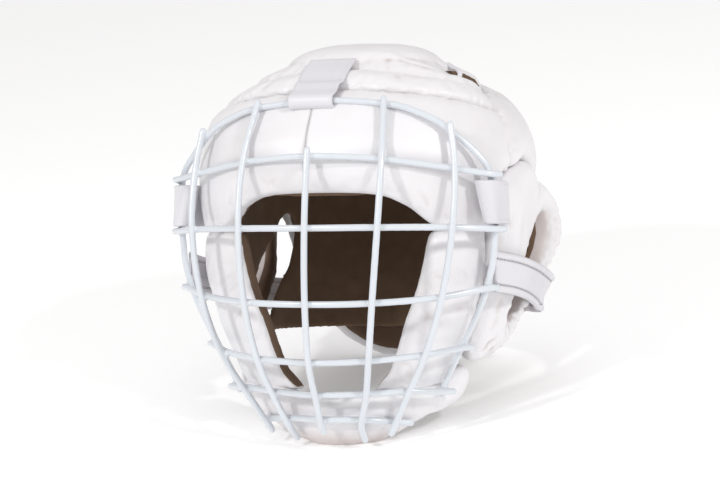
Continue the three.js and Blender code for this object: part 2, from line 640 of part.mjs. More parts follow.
// ---------------------------------------------------------------- grille
function wireSolid(points, steps, sides = WIRE_SIDES, radius = WIRE) {
  const curve = new THREE.CatmullRomCurve3(points, false, 'centripetal');
  const section = new THREE.Shape(Array.from({ length: sides }, (_, i) => {
    const angle = 2 * Math.PI * i / sides;
    return new THREE.Vector2(radius * Math.cos(angle), radius * Math.sin(angle));
  }));
  return merged(new THREE.ExtrudeGeometry(section, { steps, extrudePath: curve, bevelEnabled: false }));
}

const vector = ([x, y, z]) => new THREE.Vector3(x, y, z);
const flip = (p) => new THREE.Vector3(-p.x, p.y, p.z);

// Moves a point of the grille outwards, away from the middle of the face.
function outwards(p, distance) {
  const from = new THREE.Vector3(0, -10, -15);
  const direction = p.clone().sub(from);
  direction.z *= 0.6;
  return p.clone().addScaledVector(direction.normalize(), distance);
}

// The last two points of a level wire: past the frame and just outside it.
function levelEnd(z) {
  const place = (level) => new THREE.Vector3(
    lookUp(FRAME_UP, 'z', 'x', level), lookUp(FRAME_UP, 'z', 'y', level), level);
  const outward = new THREE.Vector3(0.66, -0.75, 0);
  const back = new THREE.Vector3(0.62, 0.78, 0);
  const crossing = place(z).addScaledVector(outward, 2 * WIRE + WIRE_GAP + 0.8);
  return [crossing, crossing.clone().addScaledVector(back, WIRE_OVERHANG)];
}

// The wires of the grille by name: the frame, the level ones and the uprights,
// each set just clear of the one it is welded to.
function grilleWires() {
  const level = (p) => outwards(p, -WIRE);
  const upright = (p) => outwards(p, WIRE + WIRE_GAP);
  const middle = ([y, z]) => new THREE.Vector3(0, y, z);
  const wires = { frame: wireSolid([...FRAME_LINE.slice(1).reverse().map(flip), ...FRAME_LINE], 44) };
  const crossings = [...LEVEL_WIRES, CHIN_WIRE];
  crossings.forEach((row, i) => {
    const half = ['inner', 'outer', 'end'].filter((key) => row[key])
      .map((key) => level(vector(row[key])));
    if (row.endZ) half.push(...levelEnd(row.endZ));
    const line = [...half.map(flip).reverse(), level(middle(row.centre)), ...half];
    wires[`level_${i + 1}`] = wireSolid(line, 16);
  });
  wires.upright_middle = wireSolid([
    upright(middle(WIRE_TOPS.centre)),
    ...crossings.map((row) => upright(middle(row.centre))),
    middle(WIRE_FEET.centre),
  ], 16);
  for (const { name, sign } of SIDES) {
    for (const line of ['inner', 'outer']) {
      const crossed = crossings.filter((row) => row[line]);
      wires[`upright_${line}_${name}`] = wireSolid([
        upright(vector(WIRE_TOPS[line])),
        ...crossed.map((row) => upright(vector(row[line]))),
        vector(WIRE_FEET[line]),
      ].map((p) => (sign > 0 ? p : flip(p))), 16);
    }
  }
  return wires;
}

// ---------------------------------------------------------------- leather
// A ribbon of leather: each station has a place, and the way its face looks.
function ribbon(stations, width, thick) {
  const corners = stations.map(({ place, face, widthways, scale = 1 }) => {
    const half = widthways.clone().multiplyScalar(width * scale / 2);
    const out = face.clone().multiplyScalar(thick / 2);
    return [
      place.clone().add(half).add(out), place.clone().sub(half).add(out),
      place.clone().sub(half).sub(out), place.clone().add(half).sub(out),
    ];
  });
  const triangles = [0, 1, 2, 0, 2, 3];
  const last = (corners.length - 1) * 4;
  for (let i = 0; i < corners.length - 1; i += 1) {
    for (let j = 0; j < 4; j += 1) {
      const k = (j + 1) % 4;
      const a = i * 4;
      triangles.push(a + j, a + 4 + j, a + 4 + k, a + j, a + 4 + k, a + k);
    }
  }
  triangles.push(last, last + 2, last + 1, last, last + 3, last + 2);
  return facingOut(geometryOf(corners.flat(), triangles));
}

// Stations of a ribbon along a line of points, the face to its right or left.
function stationsAlong(points, widthways, side) {
  return points.map((place, i) => {
    const before = points[Math.max(0, i - 1)];
    const after = points[Math.min(points.length - 1, i + 1)];
    const face = after.clone().sub(before).cross(widthways).multiplyScalar(side).normalize();
    return { place, face, widthways };
  });
}

// A turn of leather round a wire, from one angle to another in a plane.
function turnRound(centre, across, up, from, to) {
  const radius = WIRE + 1.1 + LEATHER / 2;
  const steps = 6;
  return Array.from({ length: steps + 1 }, (_, i) => {
    const angle = radians(mix(from, to, i / steps));
    return centre.clone()
      .addScaledVector(across, radius * Math.cos(angle))
      .addScaledVector(up, radius * Math.sin(angle));
  });
}

// Loop at the temple: round the frame wire and back along the ear guard.
function sideLoop() {
  const edge = (x, y, z) => {
    const line = SIDE_LOOP.map((row) => new THREE.Vector3(row[x], row[y], z));
    return new THREE.CatmullRomCurve3(line, false, 'centripetal').getSpacedPoints(20);
  };
  const upper = edge('x', 'y', SIDE_LOOP_AT.z + SIDE_LOOP_AT.width / 2);
  const lower = edge('lowX', 'lowY', SIDE_LOOP_AT.z - SIDE_LOOP_AT.width / 2);
  const middle = upper.map((p, i) => p.clone().lerp(lower[i], 0.5));
  const stations = stationsAlong(middle, new THREE.Vector3(0, 0, 1), 1).map((station, i) => {
    const across = upper[i].clone().sub(lower[i]);
    const scale = across.length() / SIDE_LOOP_AT.width;
    return { ...station, widthways: across.normalize(), scale };
  });
  return ribbon(stations, SIDE_LOOP_AT.width, LEATHER);
}

// Loop over the brow: round the arch and up over the crown band to the cap.
function topLoop() {
  const wire = new THREE.Vector3(CENTRE_LINE, -95, 93.3);
  const y = new THREE.Vector3(0, 1, 0);
  const z = new THREE.Vector3(0, 0, 1);
  const over = [[-79, 0.4], [-72, 0.4], [-64, 0.6], [-59.5, 1.2], [-56, 2.4]]
    .map(([at, rise]) => domeOffset(CENTRE_LINE, at, rise + LEATHER / 2));
  const points = [
    ...turnRound(wire, y, z, -80, -260),
    new THREE.Vector3(CENTRE_LINE, -90.5, 100.5), new THREE.Vector3(CENTRE_LINE, -85, 105.5), ...over,
  ];
  return ribbon(stationsAlong(points, new THREE.Vector3(1, 0, 0), 1), 34, LEATHER);
}

function napeStrap() {
  const half = STRAP.map((row) => new THREE.Vector3(row.x, row.y, row.z));
  const line = [...half.slice(1).reverse().map(flip), ...half];
  const leans = [...STRAP.slice(1).reverse(), ...STRAP].map((row, step) => ({ step, lean: row.lean }));
  const curve = new THREE.CatmullRomCurve3(line, false, 'centripetal');
  const steps = 44;
  const points = Array.from({ length: steps + 1 }, (_, i) => curve.getPoint(i / steps));
  const stations = stationsAlong(points, new THREE.Vector3(0, 0, 1), 1).map((station, i) => {
    const lean = radians(lookUp(leans, 'step', 'lean', (leans.length - 1) * i / steps));
    const level = station.face.clone().setZ(0).normalize();
    const widthways = new THREE.Vector3(0, 0, Math.cos(lean)).addScaledVector(level, -Math.sin(lean));
    const face = level.multiplyScalar(Math.cos(lean)).setZ(Math.sin(lean));
    return { ...station, widthways, face };
  });
  return ribbon(stations, STRAP_WIDTH, STRAP_THICK);
}

// Lace across a slot, a quarter of the way along it, lying on the flange.
function crownLace() {
  const share = 0.27;
  const centre = { x: mix(SLOT.fromX, SLOT.toX, share), y: mix(SLOT.fromY, SLOT.toY, share) };
  const length = Math.hypot(SLOT.toX - SLOT.fromX, SLOT.toY - SLOT.fromY);
  const across = { x: -(SLOT.toY - SLOT.fromY) / length, y: (SLOT.toX - SLOT.fromX) / length };
  const points = [-10, -6, 0, 6, 10].map((reach) => domeOffset(
    centre.x + across.x * reach, centre.y + across.y * reach, LACE + 0.5));
  return wireSolid(points, 8, WIRE_SIDES, LACE);
}

// ---------------------------------------------------------------- helmet
const WHITE_LEATHER = { color: 0xf1eff2, roughness: 0.45, metalness: 0 };
const LOOP_LEATHER = { color: 0xe9e7ec, roughness: 0.5, metalness: 0 };
const SUEDE = { color: 0x5a4130, roughness: 0.95, metalness: 0 };
const COATED_STEEL = { color: 0xf4f6fa, roughness: 0.25, metalness: 0 };

const helmet = new THREE.Group();

function addPiece(name, geometry, finish) {
  const mesh = new THREE.Mesh(geometry, new THREE.MeshStandardMaterial(finish));
  mesh.name = name;
  helmet.add(mesh);
}

addPiece('forehead_pad', foreheadPad(), WHITE_LEATHER);
addPiece('crown_band', crownBand(), WHITE_LEATHER);
addPiece('top_cap', topCap(), WHITE_LEATHER);
addPiece('back_panel', restOnFloor(backPanel()), WHITE_LEATHER);
addPiece('lining', restOnFloor(lining()), SUEDE);
addPiece('chin_pad', chinPad(), WHITE_LEATHER);
for (const { name, sign } of SIDES) {
  const side = (geometry) => (sign > 0 ? geometry : mirrored(geometry));
  addPiece(`ear_guard_${name}`, side(earGuard()), WHITE_LEATHER);
  addPiece(`cheek_pad_${name}`, side(cheekPad()), WHITE_LEATHER);
  addPiece(`side_loop_${name}`, side(sideLoop()), LOOP_LEATHER);
  addPiece(`crown_lace_${name}`, side(crownLace()), LOOP_LEATHER);
}
addPiece('top_loop', topLoop(), LOOP_LEATHER);
addPiece('nape_strap', napeStrap(), LOOP_LEATHER);
for (const [name, wire] of Object.entries(grilleWires())) addPiece(`wire_${name}`, wire, COATED_STEEL);

// Lean the helmet back onto the floor and centre it over the origin.
const resting = new THREE.Group();
resting.rotation.x = -radians(LEAN_BACK);
resting.add(helmet);
const placed = new THREE.Group();
placed.add(resting);
placed.updateMatrixWorld(true);
const box = new THREE.Box3();
for (const mesh of helmet.children) box.expandByObject(mesh, true);
const middle = box.getCenter(new THREE.Vector3());
resting.position.set(-middle.x, -middle.y, -box.min.z);

export default placed;
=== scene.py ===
"""Martial arts grille helmet: a padded white leather headguard with a welded,
white coated wire grille, leaned back on its chin pad and nape."""

import math

import bmesh
import bpy
import numpy as np
from mathutils import Matrix, Vector, noise


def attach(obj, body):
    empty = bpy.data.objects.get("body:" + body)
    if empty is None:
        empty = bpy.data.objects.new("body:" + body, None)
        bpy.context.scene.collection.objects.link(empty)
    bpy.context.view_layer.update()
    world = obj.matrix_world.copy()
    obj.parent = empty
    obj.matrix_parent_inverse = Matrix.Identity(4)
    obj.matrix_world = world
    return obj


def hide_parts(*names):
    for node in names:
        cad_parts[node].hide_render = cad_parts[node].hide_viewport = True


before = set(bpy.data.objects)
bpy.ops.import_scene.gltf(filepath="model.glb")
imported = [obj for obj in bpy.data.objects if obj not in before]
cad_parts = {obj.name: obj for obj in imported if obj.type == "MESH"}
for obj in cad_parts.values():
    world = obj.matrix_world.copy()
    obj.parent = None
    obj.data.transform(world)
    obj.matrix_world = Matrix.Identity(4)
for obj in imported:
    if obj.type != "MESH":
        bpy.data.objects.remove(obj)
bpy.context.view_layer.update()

# ------------------------------------------------------------ where it rests
# The helmet is described upright, in millimetres: the face looks along -Y and
# the wearer's left is +X. REST lays it back as it rests on the table.
LEAN = math.radians(18)
REST = (Matrix.Translation((0, -0.0021, 0.1115)) @ Matrix.Rotation(-LEAN, 4, "X")
        @ Matrix.Scale(0.001, 4))
UPRIGHT = REST.inverted()
# The middle of the head that wears it.
HEAD = Vector((0, 2, 15))


def resting(x, y, z):
    return REST @ Vector((x, y, z))


def flipped(points):
    return [(-x, y, z) for x, y, z in points]


def mirrored(line, sign):
    """A line of the left side, or its mirror image where the sign is -1."""
    return line if sign > 0 else flipped(line)


def new_object(name, data):
    thing = bpy.data.objects.new(name, data)
    bpy.context.collection.objects.link(thing)
    return thing


def new_mesh(name, bm):
    mesh = bpy.data.meshes.new(name)
    bm.to_mesh(mesh)
    bm.free()
    return mesh


def new_piece(name, bm):
    mesh = new_mesh(name, bm)
    mesh.shade_smooth()
    piece = new_object(name, mesh)
    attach(piece, "root")
    return piece


def evaluated(piece):
    """The piece's mesh with its modifiers taken up, as a mesh of its own."""
    graph = bpy.context.evaluated_depsgraph_get()
    return bpy.data.meshes.new_from_object(piece.evaluated_get(graph))


def take_up_modifiers(piece):
    mesh = evaluated(piece)
    piece.modifiers.clear()
    old = piece.data
    piece.data = mesh
    mesh.name = piece.name
    bpy.data.meshes.remove(old)
    mesh.shade_smooth()


def corners(piece):
    places = np.empty(len(piece.data.vertices) * 3)
    piece.data.vertices.foreach_get("co", places)
    return places.reshape(-1, 3)


def facings(piece):
    normals = np.empty(len(piece.data.vertices) * 3, dtype=np.float32)
    piece.data.vertex_normals.foreach_get("vector", normals)
    return normals.reshape(-1, 3).astype(float)


def move_corners(piece, places):
    piece.data.vertices.foreach_set("co", places.ravel())
    piece.data.update()


def upright(piece):
    """The places of a piece's corners on the upright helmet, in mm."""
    m = np.array(UPRIGHT)
    return corners(piece) @ m[:3, :3].T + m[:3, 3]


def upright_facings(piece):
    return facings(piece) @ np.array(REST.to_3x3().normalized())


def turned_away(piece):
    """How far each corner faces away from the head: 1 right away, -1 to it."""
    away = upright(piece) - np.array(HEAD)
    away /= np.linalg.norm(away, axis=1)[:, None]
    return np.sum(away * upright_facings(piece), axis=1)


# ------------------------------------------------------------ headguard shape
# Outer surface of the headguard, a row for each level: z, half of its width,
# the line that its front and back halves meet on, its front and its back.
SHELL = [
    (-112, 81, -5, -84, 86), (-88, 90, -5, -92, 97), (-46, 106, -5, -101, 112),
    (0, 114, -8, -102, 125), (30, 116, -10, -105, 132), (60, 115, -10, -107, 133),
    (80, 110, -10, -98, 126), (95, 100, -10, -88, 114), (107, 86, -9, -78, 99),
    (118, 66, -6, -63, 78), (127, 42, -2, -41, 50), (132, 20, 2, -18, 26),
    (133.5, 0.6, 4, 3.4, 4.6),
]
LOWEST, HIGHEST = SHELL[0][0], SHELL[-1][0]
# How square the front and the back half are in plan: 2 is an ellipse.
FRONT_SQUARE, BACK_SQUARE = 2.5, 2.2
# Seams round the front of the crown: degrees from the face, and the level.
# They end at the sides, at so many degrees.
SEAM_END = 79
BROW_SEAM = [(0, 105), (40, 100), (62, 94), (79, 88)]
CAP_SEAM = [(0, 119.5), (13, 119), (35, 116), (55, 111), (79, 105)]
# Where the top cap meets the back panel in plan: x and y.
CAP_BACK = [(0, 40), (30, 38.5), (55, 34), (72, 25), (84, 8), (90, -10)]
# Rim of an ear opening: y, z, and how far it stands out from the surface.
EAR_RIM = [
    (48, 20, 4), (53, 15, 8), (53, 4, 10), (49, -8, 9), (42, -20, 6), (27, -35, 3), (11, -50, 1),
    (-2, -58, 1), (-9, -60, 1), (-13, -52, 1), (-9, -40, 0), (-1, -26, -1), (11, -15, -2),
    (21, -8, -3), (28, -1, -3), (36, 8, -1.5), (42, 15, 1),
]
# Crown slot in plan: where it starts, and how far it runs to the side and back.
SLOT_START, SLOT_RUN = Vector((59, -21, 0)), Vector((26.5, 28, 0))
SLOT_LENGTH = 38.6


def look_up(table, column, at):
    """A smooth value from a table, by its first column."""
    last = len(table) - 1
    i = 0
    while i < last - 1 and at > table[i + 1][0]:
        i += 1

    def slope(k):
        before, after = table[max(0, k - 1)], table[min(last, k + 1)]
        return (after[column] - before[column]) / (after[0] - before[0])

    span = table[i + 1][0] - table[i][0]
    t = min(1, max(0, (at - table[i][0]) / span))
    ease = t * t * (3 - 2 * t)
    rise = t * (1 - t) * (1 - t) * span * slope(i)
    fall = t * t * (t - 1) * span * slope(i + 1)
    return table[i][column] + (table[i + 1][column] - table[i][column]) * ease + rise + fall


def shell_point(z, degrees):
    half = max(0.3, look_up(SHELL, 1, z))
    mid = look_up(SHELL, 2, z)
    sine, cosine = math.sin(math.radians(degrees)), math.cos(math.radians(degrees))
    reach = max(0.3, abs(look_up(SHELL, 3 if cosine > 0 else 4, z) - mid))
    power = FRONT_SQUARE if cosine > 0 else BACK_SQUARE
    size = (abs(sine) ** power + abs(cosine) ** power) ** (-1 / power)
    return Vector((half * size * sine, mid - reach * size * cosine, z))


def on_shell(z, degrees, out=0.0):
    """The surface at a level and an angle from the face, moved outwards."""
    above = shell_point(min(HIGHEST, z + 0.5), degrees)
    up = above - shell_point(max(LOWEST, z - 0.5), degrees)
    around = shell_point(z, degrees + 0.5) - shell_point(z, degrees - 0.5)
    return shell_point(z, degrees) + around.cross(up).normalized() * out


def on_side(y, z, out=0.0):
    """The left side's surface at a place seen from the side."""
    mid = look_up(SHELL, 2, z)
    power = FRONT_SQUARE if y < mid else BACK_SQUARE
    along = abs((y - mid) / (look_up(SHELL, 3 if y < mid else 4, z) - mid))
    wide = max(0.0, 1 - along ** power) ** (1 / power)
    return on_shell(z, math.degrees(math.atan2(wide, along if y < mid else -along)), out)


def crown_height(x, y):
    low, high = 30.0, HIGHEST
    for _ in range(30):
        z = (low + high) / 2
        half = max(0.01, look_up(SHELL, 1, z))
        mid = look_up(SHELL, 2, z)
        reach = max(0.01, abs(look_up(SHELL, 3 if y < mid else 4, z) - mid))
        power = FRONT_SQUARE if y < mid else BACK_SQUARE
        if (abs(x) / half) ** power + (abs(y - mid) / reach) ** power < 1:
            low = z
        else:
            high = z
    return (low + high) / 2


def on_crown(x, y, out=0.0):
    """The crown's surface over a place in plan, moved outwards."""
    slope_x = (crown_height(x + 3, y) - crown_height(x - 3, y)) / 6
    slope_y = (crown_height(x, y + 3) - crown_height(x, y - 3)) / 6
    return Vector((x, y, crown_height(x, y))) + Vector((-slope_x, -slope_y, 1)).normalized() * out


def seam_round(table, start, end):
    count = max(4, round(abs(end - start) / 4))
    angles = [start + (end - start) * k / count for k in range(count + 1)]
    return [on_shell(look_up(table, 1, abs(a)), a) for a in angles]


BROW_LINE = seam_round(BROW_SEAM, -SEAM_END, SEAM_END)
CAP_LINE = seam_round(CAP_SEAM, -SEAM_END, SEAM_END)
SIDE_LINE = [on_shell(z, SEAM_END) for z in (47, 55, 63, 71, 79, 88, 97, 104.5)]
BACK_HALF = [on_crown(x, y) for x, y in CAP_BACK]
BACK_LINE = [*flipped(BACK_HALF[1:])[::-1], *BACK_HALF]
CAP_FOLD = seam_round([(0, 124), (20, 123.6), (40, 121), (58, 116)], 9, 60)
BACK_CENTRE = [on_shell(z, 180)
               for z in (127, 123, 117, 109, 100, 90, 78, *range(62, -35, -16))]
NAPE_FOLD = [on_shell(-26, a) for a in range(128, 233, 8)]
CENTRE_LINE = [on_shell(z, -3.3) for z in (104, 97, *range(90, 41, -8), 33)]
LENS_LINE = [on_crown(56 * math.sin(a), -12.6 - 44 * math.cos(a))
             for a in [math.radians(4 * k) for k in range(-22, 23)]]
EAR_LINE = [on_side(y, z, out) for y, z, out in [*EAR_RIM, EAR_RIM[0]]]


def slot_line(across):
    """A line along a crown slot, so far to the front of its middle, in mm."""
    way = SLOT_RUN.normalized()
    start = SLOT_START + Vector((way.y, -way.x, 0)) * across
    spots = [start + way * SLOT_LENGTH * t for t in np.linspace(-0.1, 1.1, 15)]
    return [on_crown(p.x, p.y) for p in spots]


SLOT_BACK = slot_line(-8)
SLOT_FRONT = slot_line(8)
SLOT_MIDDLE = slot_line(0)

# ------------------------------------------------------------ padded leather
def copy_of(node, name):
    bm = bmesh.new()
    bm.from_mesh(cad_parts[node].data)
    bmesh.ops.remove_doubles(bm, verts=bm.verts, dist=1e-5)
    return new_piece(name, bm)


def swell(piece, amount):
    """Moves the whole surface of a piece outwards by so many mm."""
    move_corners(piece, corners(piece) + facings(piece) * amount / 1000)


def even_mesh(piece, voxel):
    """Meshes a piece anew, with even faces of about so many mm."""
    remesh = piece.modifiers.new("even", "REMESH")
    remesh.mode = "VOXEL"
    remesh.voxel_size = voxel / 1000
    take_up_modifiers(piece)


def soften(piece, rounds):
    smooth = piece.modifiers.new("soften", "SMOOTH")
    smooth.factor = 0.5
    smooth.iterations = rounds
    take_up_modifiers(piece)


def looks_out(piece):
    """Whether each corner is on a pad's outer skin, from 0 to 1."""
    return np.clip((turned_away(piece) - 0.15) / 0.5, 0, 1)


def leather_pad(node, name, voxel=3.0, rounds=6, full=0.75):
    """The skin of a pad, evenly meshed and with its corners rounded over."""
    piece = copy_of(node, name)
    swell(piece, full)
    even_mesh(piece, voxel)
    soften(piece, rounds)
    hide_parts(node)
    return piece


def fill_with_foam(pads, most=2.6, slack=0.012, steps=20):
    """Presses the outer skin of every pad out by up to so many mm, as the foam
    in it does."""
    scene = bpy.context.scene
    starts = {}
    for pad in pads:
        out = looks_out(pad)
        starts[pad.name] = (corners(pad), out)
        held = pad.vertex_groups.new(name="held")
        held.add(np.nonzero(out < 0.02)[0].tolist(), 1.0, "REPLACE")
        cloth = pad.modifiers.new("filling", "CLOTH")
        cloth.settings.quality = 4
        cloth.settings.mass = 0.3
        cloth.settings.tension_stiffness = 12
        cloth.settings.compression_stiffness = 12
        cloth.settings.bending_stiffness = 0.6
        cloth.settings.use_pressure = True
        cloth.settings.uniform_pressure_force = 4
        cloth.settings.shrink_min = -slack
        cloth.settings.vertex_group_mass = "held"
        cloth.settings.effector_weights.gravity = 0
        cloth.collision_settings.use_collision = False
        cloth.point_cache.frame_start = 1
        cloth.point_cache.frame_end = steps
    for step in range(1, steps + 1):
        scene.frame_set(step)
    for pad in pads:
        start, out = starts[pad.name]
        take_up_modifiers(pad)
        moved = corners(pad) - start
        reach = np.linalg.norm(moved, axis=1)[:, None] + 1e-9
        limit = (most / 1000) * out[:, None]
        move_corners(pad, start + moved * np.minimum(1, limit / reach))
        pad.vertex_groups.clear()
    scene.frame_set(1)


def finer(piece):
    levels = piece.modifiers.new("finer", "SUBSURF")
    levels.levels = levels.render_levels = 1
    take_up_modifiers(piece)


def along_line(places, line):
    """For each place: how far it is from a line of points, and where along."""
    best = np.full(len(places), 1e9)
    along = np.zeros(len(places))
    done = 0.0
    points = [np.array(p, dtype=float) for p in line]
    for a, b in zip(points, points[1:]):
        run = b - a
        length = np.linalg.norm(run)
        t = np.clip((places - a) @ run / length ** 2, 0, 1)
        gap = np.linalg.norm(places - a - t[:, None] * run, axis=1)
        near = gap < best
        best[near] = gap[near]
        along[near] = done + t[near] * length
        done += length
    return best, along, done


def push(piece, amount):
    """Moves each corner of a pad's outer skin along its own facing, in mm."""
    out = looks_out(piece)
    move_corners(piece, corners(piece) + facings(piece) * (amount * out / 1000)[:, None])


def lengthen(piece, start, end, drop):
    """Draws the part of a pad from one level to another down, away from the
    middle of the face, by up to so many mm."""
    places = upright(piece)
    share = np.clip((start - places[:, 2]) / (start - end), 0, 1)
    share = share * share * (3 - 2 * share) * np.clip((np.abs(places[:, 0]) - 36) / 20, 0, 1)
    down = np.array(REST.to_3x3() @ Vector((0, 0, -1)))
    move_corners(piece, corners(piece) + down * (share * drop)[:, None])


def fold(piece, line, width, height, sides=(1,)):
    """A soft ridge, or with a height below 0 a dent, that follows a line."""
    for side in sides:
        gap, along, length = along_line(upright(piece), mirrored(line, side))
        taper = np.sin(np.pi * np.clip(along / length, 0, 1)) ** 0.5
        push(piece, height * np.exp(-(gap / width) ** 2) * taper)


def gathers(piece, line, spacing, height, reach, seed=0.0):
    """Small puckers that stand across a seam and die away from it."""
    gap, along, _ = along_line(upright(piece), line)
    wobble = np.array([noise.noise(Vector((a / 17, seed, g / 25))) for a, g in zip(along, gap)])
    strength = np.array([noise.noise(Vector((a / 23, seed + 7, 0))) for a in along])
    wave = np.sin(2 * math.pi * along / spacing + 5 * wobble)
    push(piece, height * wave * (0.55 + 0.9 * strength) * np.exp(-(gap / reach) ** 1.5))


def keep(piece, label, values):
    kept = piece.data.attributes.new(label, "FLOAT", "POINT")
    kept.data.foreach_set("value", np.asarray(values, dtype=np.float32))


def mark_seams(piece, *lines, reach=12):
    """Keeps for each corner how far it is to one side of the nearest seam, in
    mm, and whether a seam is near, for the leather's finish to draw it."""
    places = upright(piece)
    outward = upright_facings(piece)
    best = np.full(len(places), 1e9)
    offset = np.zeros(len(places))
    near_seam = np.zeros(len(places))
    for line in lines:
        points = [np.array(p, dtype=float) for p in line]
        for a, b in zip(points, points[1:]):
            length = np.linalg.norm(b - a)
            way = (b - a) / length
            t = (places - a) @ way
            off = places - a - np.clip(t, 0, length)[:, None] * way
            gap = np.linalg.norm(off, axis=1)
            near = gap < best
            best[near] = gap[near]
            offset[near] = np.sum(off * np.cross(way, outward), axis=1)[near]
            near_seam[near] = ((gap < reach) & (np.abs(t - length / 2) < length / 2 + 1))[near]
    keep(piece, "seam offset", offset)
    keep(piece, "seam near", near_seam)


def mark_suede_and_wall_shade(piece, level, openings):
    """Keeps for each corner whether it looks at the head, where a pad is suede
    on its back, or stands in the wall of an opening, where the same brown is
    painted shade. An opening has a line along it, the nearest and the farthest
    that its wall is from the line, and how far the wall turns."""
    places = upright(piece)
    turned = turned_away(piece)
    suede_and_wall_shade = np.clip((level - turned) / 0.3 + 0.5, 0, 1)
    # The walls of openings get the suede brown as painted shade.
    for line, start, reach, turn in openings:
        gap, _, _ = along_line(places, line)
        inside = np.clip((reach - gap) / 2 + 0.5, 0, 1) * np.clip((gap - start) / 2 + 0.5, 0, 1)
        suede_and_wall_shade = np.maximum(suede_and_wall_shade, inside * np.clip((turn - turned) / 0.3 + 0.5, 0, 1))
    keep(piece, "suede_and_wall_shade", suede_and_wall_shade)


def mark_painted_shade(piece, openings, under=None, rounds=14, deep=0.9):
    """Keeps for each corner how much painted shade it gets: more where it lies
    deep in a crease, against the surface with its creases smoothed away, and
    where it is below the level under or in the wall of an opening, as painted
    shade for the shade that falls there."""
    places = corners(piece) * 1000
    ends = np.zeros(len(piece.data.edges) * 2, dtype=np.int64)
    piece.data.edges.foreach_get("vertices", ends)
    a, b = ends[::2], ends[1::2]
    count = np.bincount(ends, minlength=len(places))[:, None]
    even = places.copy()
    for _ in range(rounds):
        total = np.zeros_like(even)
        np.add.at(total, a, even[b])
        np.add.at(total, b, even[a])
        even = total / np.maximum(count, 1)
    depth = np.sum((even - places) * facings(piece), axis=1)
    painted_shade = np.clip((depth - 0.05) / deep, 0, 1)
    if under is not None:
        low = np.clip((under - upright(piece)[:, 2]) / 10, 0, 1)
        painted_shade = np.maximum(painted_shade, 0.75 * low)
    # Steep walls of openings get painted shade.
    steep = np.clip((0.55 - turned_away(piece)) / 0.5, 0, 1)
    for line, _, reach, _ in openings:
        gap, _, _ = along_line(upright(piece), line)
        painted_shade = np.maximum(painted_shade, 0.8 * steep * (gap < reach))
    keep(piece, "painted_shade", painted_shade)


def soft_dents(piece, size, height, seed):
    """Broad unevenness of foam that has been pressed about."""
    places = upright(piece) / size
    push(piece, height * np.array([noise.noise(Vector(p) + Vector((seed, 0, 0))) for p in places]))


# ------------------------------------------------------------ finishes
BROWN = (0.16, 0.1, 0.065)


def add_node(tree, kind, inputs, **settings):
    """A shader node, with inputs that are each a value or another's output."""
    node = tree.nodes.new("ShaderNode" + kind)
    for label, value in settings.items():
        setattr(node, label, value)
    for label, value in inputs.items():
        if isinstance(value, bpy.types.NodeSocket):
            tree.links.new(value, node.inputs[label])
        else:
            node.inputs[label].default_value = value
    return node


def mottle(tree, place, scale, detail=2.0, roughness=0.5):
    spots = add_node(tree, "TexNoise", {
        "Vector": place, "Scale": scale, "Detail": detail, "Roughness": roughness})
    return spots.outputs["Fac"]


def stretch(tree, value, start, end, low=0.0, high=1.0, **settings):
    """A value that lies between start and end, as one between low and high."""
    ranged = add_node(tree, "MapRange", {
        "Value": value, "From Min": start, "From Max": end, "To Min": low, "To Max": high,
    }, **settings)
    return ranged.outputs["Result"]


def blend(tree, share, first, second):
    """A colour that goes over from the first to the second with the share."""
    mix = add_node(tree, "Mix", {"Factor": share, "A": first, "B": second}, data_type="RGBA")
    return mix.outputs["Result"]


def arithmetic(tree, operation, *values):
    return add_node(tree, "Math", dict(enumerate(values)), operation=operation).outputs[0]


def relief(tree, height, strength, distance, under=None, invert=False):
    """A bump with a height, laid over the relief that is under it."""
    inputs = {"Height": height, "Strength": strength, "Distance": distance}
    if under:
        inputs["Normal"] = under
    return add_node(tree, "Bump", inputs, invert=invert).outputs["Normal"]


def kept_value(tree, label):
    """What keep() has kept for the corners of a piece."""
    return add_node(tree, "Attribute", {}, attribute_name=label).outputs["Fac"]


def node_group(name, inputs, outputs):
    group = bpy.data.node_groups.new(name, "ShaderNodeTree")
    for label, kind, value in inputs:
        socket = group.interface.new_socket(name=label, in_out="INPUT", socket_type=kind)
        socket.default_value = value
    for label in outputs:
        group.interface.new_socket(name=label, in_out="OUTPUT", socket_type="NodeSocketFloat")
    return group, group.nodes.new("NodeGroupInput"), group.nodes.new("NodeGroupOutput")


def leather_grain():
    """Pebbled leather: cells with soft valleys, and finer pores over them."""
    group, given, result = node_group(
        "leather grain",
        [("Place", "NodeSocketVector", (0, 0, 0)), ("Cell size", "NodeSocketFloat", 900.0)],
        ["Height", "Patches"])
    place = given.outputs["Place"]
    cells = add_node(group, "TexVoronoi", {
        "Vector": place, "Scale": given.outputs["Cell size"], "Smoothness": 0.35,
    }, feature="SMOOTH_F1")
    pores = mottle(group, place, 1700, 4)
    height = arithmetic(group, "MULTIPLY_ADD", pores, 0.35, cells.outputs["Distance"])
    group.links.new(height, result.inputs["Height"])
    group.links.new(mottle(group, place, 16, 3), result.inputs["Patches"])
    return group


def creases():
    """Fine creases that run about in leather that has been bent."""
    group, given, result = node_group(
        "leather creases",
        [("Place", "NodeSocketVector", (0, 0, 0)), ("Closeness", "NodeSocketFloat", 60.0)],
        ["Height"])
    place = given.outputs["Place"]
    lines = add_node(group, "TexNoise", {
        "Vector": place, "Scale": given.outputs["Closeness"], "Detail": 2.5, "Distortion": 0.6,
    }, noise_type="RIDGED_MULTIFRACTAL")
    bent = stretch(group, mottle(group, place, 22), 0.5, 0.72)
    height = arithmetic(group, "MULTIPLY", lines.outputs["Fac"], bent)
    group.links.new(height, result.inputs["Height"])
    return group


